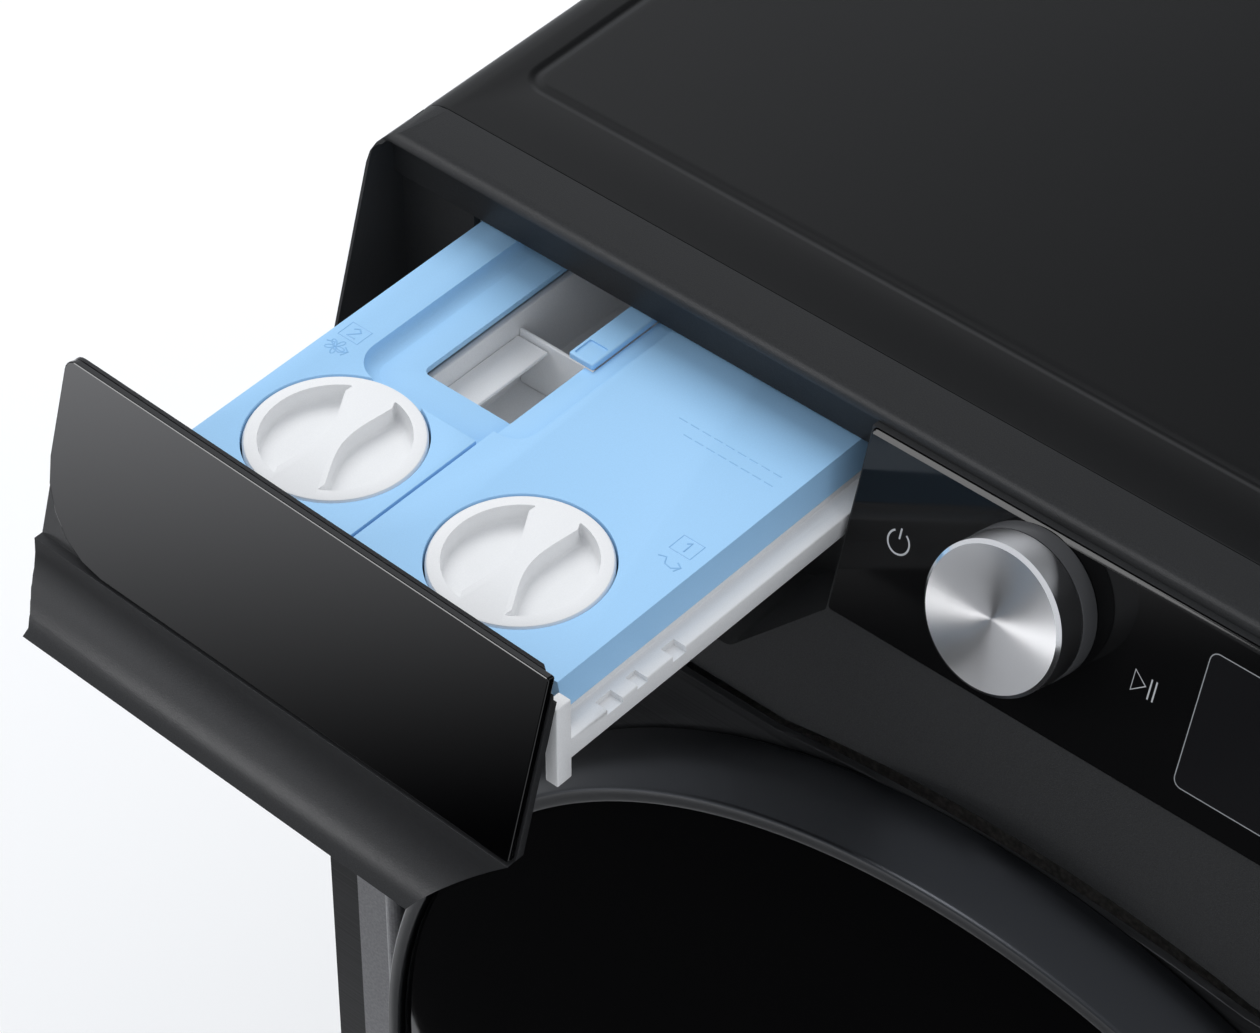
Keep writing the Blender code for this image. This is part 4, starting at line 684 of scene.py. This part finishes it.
def turning_map(piece, centre, axis, across_axis):
    """UV map whose U runs round the axis and V away from it."""
    layer = piece.data.uv_layers.new(name="turning")
    side = Vector(axis).cross(Vector(across_axis))
    for polygon in piece.data.polygons:
        middle = polygon.center - Vector(centre)
        base = math.atan2(middle.dot(side), middle.dot(Vector(across_axis)))
        for loop in polygon.loop_indices:
            point = piece.data.vertices[piece.data.loops[loop].vertex_index].co - Vector(centre)
            flat = Vector((point.dot(Vector(across_axis)), point.dot(side)))
            turn = math.atan2(flat.y, flat.x) if flat.length > 0.00002 else base
            while turn - base > math.pi:
                turn -= math.tau
            while turn - base < -math.pi:
                turn += math.tau
            layer.data[loop].uv = (turn / math.tau, flat.length * 20 + point.dot(Vector(axis)) * 20)


aluminium = spun_metal("spun_aluminium", (0.92, 0.92, 0.93), 0.33, 0.9, 0.02)
chamfer_metal = spun_metal("cut_chamfer", (0.92, 0.92, 0.93), 0.16, 0.3, 0.01)
face, foot = 0.0200, 0.0078
knob_profile = [(0.00003, face - 0.0005), (0.006, face - 0.00036), (0.012, face - 0.00022),
                (0.018, face - 0.0001), (dial_radius - 0.0013, face), (dial_radius, face - 0.0011),
                (dial_radius, face - 0.006), (dial_radius, foot + 0.0003), (dial_radius - 0.0004, foot),
                (0.0040, foot), (0.0040, 0.0008), (0.00003, 0.0008)]
knob = spun("dial_knob", knob_profile, dial_centre, OFF_SLOPE, (1, 0, 0), aluminium, 128, 25.0)
turning_map(knob, dial_centre, OFF_SLOPE, (1, 0, 0))
knob.data.materials.append(chamfer_metal)
for polygon in knob.data.polygons:
    middle = polygon.center - dial_centre
    height = middle.dot(OFF_SLOPE)
    outward = (middle - OFF_SLOPE * height).length
    if face - 0.0009 < height < face - 0.0002 and outward > 0.0242:
        polygon.material_index = 1
belongs(knob, "dial", "dial", "dial")
ring_profile = [(dial_radius, 0.0075), (dial_radius + 0.0002, 0.0072), (dial_radius + 0.0002, 0.0003),
                (0.0046, 0.0003), (0.0046, 0.0075)]
dial_ring = spun("dial_foot_ring", ring_profile, dial_centre, OFF_SLOPE, (1, 0, 0),
                 gloss("dial_ring_lacquer", (0.060, 0.061, 0.064), 0.34), 128)
belongs(dial_ring, "machine", "dial_base", "dial_base")

# ---- Drawer front ----
# Gloss black glass on a moulded carrier. The carrier shows as a dark strip behind the glass's top edge and
# flares forward below it as a satin lip to pull by.
carrier = grained("carrier_plastic", (0.0165, 0.0168, 0.0178), 0.42, speckle=0.5, scale=2600, depth=0.15,
                  specular=0.35)
eased("drawer_carrier", "drawer_front", "drawer", carrier, 0.0009, 3, 40.0)
eased("drawer_glass_pane", "drawer_glass", "drawer", black_glass, 0.0004, 2, 40.0, smooth=8.0)

# ---- Dispenser tray ----
# White moulded tray: two closed tanks, the open compartment between them and a running rail on each side.
tray_white = grained("tray_plastic", (0.80, 0.805, 0.81), 0.38, speckle=0.05, scale=2400, depth=0.05)
tray = eased("tray_moulding", "drawer_tray", "drawer", tray_white, 0.0005, 2, 40.0)
rail_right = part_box("drawer_tray")[1].x
rail_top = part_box("cover_right")[0].z - 0.0003
for forward, length, depth in ((0.1120, 0.0060, 0.0026), (0.1290, 0.0045, 0.0018), (0.1415, 0.0070, 0.0022)):
    bpy.ops.object.select_all(action="DESELECT")
    slot_place = (rail_right - 0.0010, at(forward), rail_top - 0.0018 - depth / 2)
    bpy.ops.mesh.primitive_cube_add(size=1.0, location=slot_place)
    slot_cut = bpy.context.object
    slot_cut.scale = (0.0080, length, depth)
    cut_by(tray, settle(slot_cut))
settle(tray, 35.0)

# The open compartment has a low cross rib and a ledge where the water runs in.
for name, low, high in (("well_rib", (-0.2283, 0.0290, 0.7846), (-0.1897, 0.0304, 0.8075)),
                        ("well_ledge", (-0.2283, 0.0310, 0.8040), (-0.2150, 0.0700, 0.8054)),
                        ("well_step", (-0.2283, 0.0560, 0.7846), (-0.1897, 0.0740, 0.7880))):
    rib = extruded(flat_outline(name, [(low[0], at(low[1])), (high[0], at(low[1])), (high[0], at(high[1])),
                                       (low[0], at(high[1]))]), (0, 0, high[2] - low[2]))
    rib.location.z = low[2]
    settle(rib)
    rounded(rib, 0.0005, 3, 40.0)
    coated(rib, tray_white)
    belongs(rib, "drawer", "drawer_tray")

# ---- Covers ----
# Light blue lids over the two tanks. The left one dips to the open compartment, the right one carries a
# shallow channel beside it. Tags and pictograms are moulded slightly raised, darkened with painted shade.
blue = grained("cover_plastic", (0.36, 0.63, 0.92), 0.36, speckle=0.03, scale=2600, depth=0.05)
cover_low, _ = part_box("cover_left")
_, cover_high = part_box("cover_right")
cover_top = cover_high.z
cover_depth, lid_wall = 0.0105, 0.002
past_rear = -0.15
split = -0.1890
cap_places = {"cap_left": (-0.2236, 0.121), "cap_right": (-0.1428, 0.124)}
cap_radius = 0.0293


def cover_block(name, x0, x1):
    """A cover's outer block, square-edged; its edges are rounded once it is cut."""
    y0, y1 = cover_low.y, cover_high.y
    piece = extruded(flat_outline(name, [(x0, y0), (x1, y0), (x1, y1), (x0, y1)]), (0, 0, cover_depth))
    piece.location.z = cover_top - cover_depth
    return settle(piece)


def hollow(piece, x0, x1):
    """Opens a lid's underside, down to its walls."""
    left, right, front, rear = x0 + lid_wall, x1 - lid_wall, cover_low.y + lid_wall, at(-0.122)
    outline = [(left, front), (right, front), (right, rear), (left, rear)]
    inner = extruded(flat_outline("hollow", outline), (0, 0, 0.012))
    inner.location.z = cover_top - 0.0075 - 0.012
    settle(inner)
    return cut_by(piece, inner)


def cap_bore(piece, place):
    """Cuts the round opening that a tank cap sits in."""
    bpy.ops.object.select_all(action="DESELECT")
    bpy.ops.mesh.primitive_cylinder_add(vertices=96, radius=cap_radius + 0.0007, depth=0.05,
                                        location=(place[0], at(place[1]), cover_top))
    return cut_by(piece, settle(bpy.context.object))


def dip(points, depth, edge, segments):
    """A cutter whose lower edge is rounded over, so that it leaves a soft-sided dip."""
    cutter = extruded(flat_outline("dip_cut", points), (0, 0, -depth - 0.004))
    cutter.location.z = cover_top + 0.004
    settle(cutter)
    bpy.ops.object.mode_set(mode="EDIT")
    bpy.ops.mesh.select_mode(type="EDGE")
    bpy.ops.mesh.select_all(action="DESELECT")
    bpy.ops.object.mode_set(mode="OBJECT")
    for edge_item in cutter.data.edges:
        ends = [cutter.data.vertices[i].co.z for i in edge_item.vertices]
        edge_item.select = max(ends) < cover_top - depth + 0.0005
    bpy.ops.object.mode_set(mode="EDIT")
    bpy.ops.mesh.bevel(offset=edge, segments=segments, affect="EDGES", clamp_overlap=False)
    bpy.ops.mesh.select_all(action="SELECT")
    bpy.ops.mesh.normals_make_consistent(inside=False)
    bpy.ops.object.mode_set(mode="OBJECT")
    return cutter


left_x0, left_x1 = cover_low.x, split - 0.0006
cover = cover_block("cover_left_lid", left_x0, left_x1)
hollow(cover, left_x0, left_x1)
valley = dip([(left_x1 + 0.02, at(0.0930)), (left_x1 + 0.02, at(past_rear)), (-0.2447, at(past_rear)),
              *corner_arc((-0.2327, at(0.0810)), 0.0120, 180, 270, 10)], 0.0052, 0.0048, 5)
cut_by(cover, valley)
well_outline = [(left_x1 + 0.02, at(0.0760)), (left_x1 + 0.02, at(past_rear)), (-0.2285, at(past_rear)),
                *corner_arc((-0.2255, at(0.0730)), 0.003, 180, 270, 5)]
well = extruded(flat_outline("well_cut", well_outline), (0, 0, 0.06))
well.location.z = cover_top - 0.03
settle(well)
cut_by(cover, well)
cap_bore(cover, cap_places["cap_left"])
rounded(cover, 0.0007, 2, 35.0)
coated(cover, blue, 30.0)
belongs(cover, "drawer", "cover_left", "cover_left")

right_x0, right_x1 = split + 0.0006, cover_high.x
lid = cover_block("cover_right_lid", right_x0, right_x1)
hollow(lid, right_x0, right_x1)
channel_outline = [(right_x0 - 0.02, at(past_rear)), (right_x0 - 0.02, at(0.0860)),
                   *corner_arc((right_x0 + 0.0020, at(0.0770)), 0.0090, 270, 360, 8),
                   (right_x0 + 0.0110, at(past_rear))]
channel = dip(channel_outline, 0.0022, 0.0021, 4)
cut_by(lid, channel)
cap_bore(lid, cap_places["cap_right"])
tab_left, tab_right, tab_front = -0.1955, -0.1853, 0.0427
notch_left, notch_right, notch_front = split - 0.01, tab_right + 0.0003, at(tab_front + 0.0003)
notch_outline = [(notch_left, notch_front), (notch_right, notch_front), (notch_right, at(past_rear)),
                 (notch_left, at(past_rear))]
notch = extruded(flat_outline("tab_notch", notch_outline), (0, 0, 0.05))
notch.location.z = cover_top - 0.025
cut_by(lid, settle(notch))
pick_only(lid)
for vertex in lid.data.vertices:
    if vertex.co.x > right_x1 - 0.0005 and vertex.co.z > cover_top - 0.0005:
        vertex.co.x -= 0.0022
rounded(lid, 0.0009, 3, 25.0)
coated(lid, blue, 30.0)
belongs(lid, "drawer", "cover_right", "cover_right")


def cover_line(name, points, width, slot, closed=False, height=0.0):
    """A raised line moulded on a cover's top, through points of X and forward distance, darkened with painted
    shade.
    """
    piece = bead(name, [(x, at(forward)) for x, forward in points], width, closed)
    for vertex in piece.data.vertices:
        vertex.co.z = cover_top + height + vertex.co.z * 0.5
    coated(piece, raised_blue_painted_shade)
    return belongs(piece, "drawer", slot)


# The raised lines are moulded in the cover's own blue; this darker blue is painted shade along them.
raised_blue_painted_shade = grained("raised_blue_painted_shade", (0.25, 0.49, 0.78), 0.40, speckle=0.03, scale=2600, depth=0.05)


def tag(name, x, forward, slot, strokes):
    """A numbered tag over a pictogram of a bottle's neck pouring."""
    wide, tall = 0.0042, 0.0036
    frame_edge = [(x - wide, forward - tall), (x + wide, forward - tall), (x + wide, forward + tall),
                  (x - wide, forward + tall)]
    cover_line(name + "_frame", frame_edge, 0.0005, slot, True)
    cover_line(name + "_number", [(x + u, forward + v) for u, v in strokes], 0.0007, slot)
    low = forward + 0.0098
    spout = [(x - 0.0046, low - 0.0016), (x - 0.0020, low - 0.0026), (x - 0.0006, low),
             (x + 0.0022, low + 0.0004), (x + 0.0044, low - 0.0014)]
    arrow = [(x + 0.0024, low - 0.0028), (x + 0.0046, low - 0.0016), (x + 0.0036, low + 0.0010)]
    cover_line(name + "_spout", spout, 0.0006, slot)
    cover_line(name + "_arrow", arrow, 0.0006, slot)


tag("tag_two", -0.2531, 0.0809, "cover_left", [(-0.0016, -0.0014), (0.0000, -0.0024), (0.0016, -0.0012),
                                               (-0.0016, 0.0022), (0.0018, 0.0022)])
tag("tag_one", -0.1084, 0.0861, "cover_right", [(-0.0010, -0.0012), (0.0004, -0.0023), (0.0004, 0.0022)])
petals = []
for i in range(40):
    turn = math.tau * i / 40
    reach = 0.0030 * abs(math.cos(2.5 * turn))
    petals.append((-0.2535 + reach * math.cos(turn) * 1.2, 0.0895 + reach * math.sin(turn) * 1.2))
cover_line("flower_mark", petals, 0.0005, "cover_left", True)
for row, (forward, left, right) in enumerate(((0.0430, -0.1487, -0.1053), (0.0480, -0.1426, -0.1050))):
    count = int((right - left) / 0.0046)
    for dash in range(count):
        start = left + (right - left) * dash / count
        cover_line("note_%d_%d" % (row, dash), [(start, forward), (start + 0.0034, forward)], 0.0006,
                   "cover_right", height=-0.00005)

# ---- Tank caps ----
# White screw caps flush with the covers. Two crescent pockets leave a waisted grip bar between them.
cap_white = grained("cap_plastic", (0.84, 0.845, 0.85), 0.34, speckle=0.03, scale=2400, depth=0.04)


def pocket_points(side):
    """Outline of one crescent pocket: the cap's rim outside, a bowed grip bar inside."""
    reach = cap_radius - 0.0047
    outside = corner_arc((0, 0), reach, 18, 162, 22)
    inside = []
    for i in range(1, 15):
        t = i / 15
        x = -reach * math.cos(math.radians(18)) * (1 - 2 * t)
        bow = 0.0060 - 0.0026 * math.cos(math.pi * (x / reach) * 0.9) + 0.0012 * (x / reach) ** 2
        inside.append((x, bow))
    loop = outside + inside
    return loop if side > 0 else [(-x, -y) for x, y in loop]


cap_bodies = {"cap_left": "left_cap", "cap_right": "right_cap"}
for node, (x, forward) in cap_places.items():
    top = cover_top + 0.0004
    profile = [(0.00003, top), (cap_radius - 0.0016, top), (cap_radius - 0.0006, top - 0.0003),
               (cap_radius, top - 0.0012), (cap_radius, top - 0.0089), (0.00003, top - 0.0089)]
    cap = spun(node + "_moulding", profile, (x, at(forward), 0), (0, 0, 1), (1, 0, 0), cap_white, 96)
    for side in (1, -1):
        scoop = extruded(flat_outline("scoop", pocket_points(side)), (0, 0, -0.0107))
        rounded(scoop, 0.0022, 4, 60.0)
        scoop.matrix_world = (Matrix.Translation((x, at(forward), top + 0.0040))
                              @ Matrix.Rotation(math.radians(102), 4, "Z"))
        settle(scoop)
        cut_by(cap, scoop)
    rounded(cap, 0.0006, 3, 40.0)
    coated(cap, cap_white)
    belongs(cap, cap_bodies[node], node, node)

# ---- Release tab ----
# A springy blue strip along the open compartment. Its end carries a plain recessed plate to press.
tab = extruded(flat_outline("release_strip", [(tab_left, at(tab_front)), (tab_right, at(tab_front)),
                                              (tab_right, at(0.0105)), (tab_left, at(0.0105))]),
               (0, 0, 0.0026))
tab.location.z = cover_top - 0.0023
settle(tab)
rounded(tab, 0.0006, 3, 40.0)
plate_low = (tab_left + 0.0012, at(tab_front - 0.0012))
plate_high = (tab_right - 0.0012, at(tab_front - 0.0092))
plate = extruded(flat_outline("plate_cut", round_rectangle(plate_low, plate_high, 0.0008, 4)), (0, 0, 0.004))
plate.location.z = cover_top - 0.0003
cut_by(tab, settle(plate))
coated(tab, blue)
belongs(tab, "release_tab", "push_tab", "push_tab")

# ---- Door ----
# Broad round door: a brushed dark metal ring with a satin rim, a sheet of black glass, and behind it the
# frame and the clear bowl that reaches into the drum.
centre = (0, seam, 0.492)
nose = 0.0875
ring_metal = spun_metal("ring_metal", (0.040, 0.042, 0.046), 0.30, 0.5)
rim_satin = grained("rim_satin", (0.050, 0.051, 0.053), 0.40, speckle=0.1, scale=2400, depth=0.03,
                    metallic=0.3)
ring_profile = [(0.2425, nose - 0.0018), (0.2430, nose - 0.0004), (0.2438, nose), (0.2474, nose - 0.0004),
                (0.2486, nose - 0.0016), (0.2530, nose - 0.0120), (0.2554, nose - 0.0205),
                (0.2558, nose - 0.0250), (0.2550, nose - 0.0260), (0.2255, nose - 0.0260),
                (0.2255, nose - 0.0085), (0.2425, nose - 0.0085)]
ring = spun("door_outer_ring", ring_profile, centre, (0, -1, 0), (1, 0, 0), ring_metal, 224, 40.0)
turning_map(ring, centre, (0, -1, 0), (1, 0, 0))
ring.data.materials.append(rim_satin)
for polygon in ring.data.polygons:
    if polygon.center.y < at(nose - 0.0010):
        polygon.material_index = 1
belongs(ring, "door", "door_ring", "door_ring")
pane_profile = [(0.1500, nose - 0.0017), (0.2000, nose - 0.0020), (0.2400, nose - 0.0030),
                (0.2421, nose - 0.0036), (0.2421, nose - 0.0080), (0.1500, nose - 0.0080)]
border = spun("door_glass_border", pane_profile, centre, (0, -1, 0), (1, 0, 0),
              gloss("door_black_glass", (0.0010, 0.0010, 0.0012), 0.03, 0.45), 224, 40.0)
belongs(border, "door", "door_glass", "door_glass")


def tinted(name, colour, weight):
    """Clear moulded glass with a tint; weight is how far light passes through."""
    made = bpy.data.materials.new(name)
    made.use_nodes = True
    shader = made.node_tree.nodes["Principled BSDF"]
    shader.inputs["Base Color"].default_value = (*colour, 1.0)
    shader.inputs["Roughness"].default_value = 0.02
    shader.inputs["Transmission Weight"].default_value = weight
    shader.inputs["IOR"].default_value = 1.45
    return made


window_profile = [(0.00003, nose - 0.0011), (0.0750, nose - 0.0013), (0.1498, nose - 0.0017),
                  (0.1498, nose - 0.0080), (0.00003, nose - 0.0080)]
door_window = spun("door_window", window_profile, centre, (0, -1, 0), (1, 0, 0),
                   tinted("tinted_window", (0.10, 0.105, 0.11), 0.9), 128)
belongs(door_window, "door", "door_glass")
dress("door_frame", grained("frame_plastic", (0.03, 0.03, 0.032), 0.5))
dress("porthole", tinted("clear_bowl", (0.80, 0.82, 0.84), 1.0))
die_cast = grained("die_cast", (0.30, 0.30, 0.31), 0.5, speckle=0.2, scale=900, depth=0.1, metallic=0.8)
for node in ("hinge_bracket", "hinge_leaf", "drum_spider", "drum_pulley"):
    dress(node, die_cast)
bright_steel = grained("bright_steel", (0.60, 0.60, 0.61), 0.28, speckle=0.1, scale=600, depth=0.02,
                       metallic=1.0)
for node in ("hinge_pin", "latch_hook", "drum_bearing", "spring_left", "spring_right", "motor_pulley"):
    dress(node, bright_steel)
dress("door_lock", tray_white)
gasket_rubber = grained("gasket_rubber", (0.16, 0.162, 0.165), 0.65, speckle=0.1, scale=1500, depth=0.1)
dress("door_gasket", gasket_rubber)

# ---- Tub, drum and drive ----
# Moulded tub halves round a plain stainless drum on a cast spider, driven by a belt. Concrete blocks weigh
# the tub down, and black rubber hoses feed it.
tub_plastic = grained("tub_plastic", (0.40, 0.41, 0.42), 0.55, speckle=0.3, scale=1400, depth=0.12)
for node in ("tub_front", "tub_rear", "dispenser_housing", "dosing_pump", "drain_pump", "damper_left",
             "damper_right"):
    dress(node, tub_plastic)
drum_steel = brushed("drum_steel", (0.55, 0.55, 0.56), 0.25, 0.3, 0.1, 1.0)
dress("drum", drum_steel)
for node in ("drum_lifter_1", "drum_lifter_2", "drum_lifter_3", "inlet_valve"):
    dress(node, tray_white)
dress("motor", die_cast)
belt_rubber = grained("belt_rubber", (0.025, 0.025, 0.026), 0.7, speckle=0.1, scale=1500, depth=0.2)
for node in ("drive_belt", "fill_hose", "dispenser_hose"):
    dress(node, belt_rubber)
concrete = grained("concrete", (0.36, 0.35, 0.33), 0.92, speckle=0.6, scale=500, depth=0.6)
for node in ("counterweight_front", "counterweight_top"):
    dress(node, concrete)
dress("filter_cap", blue)
dress("control_board", grained("solder_resist", (0.02, 0.12, 0.06), 0.45, speckle=0.1, scale=900, depth=0.1))
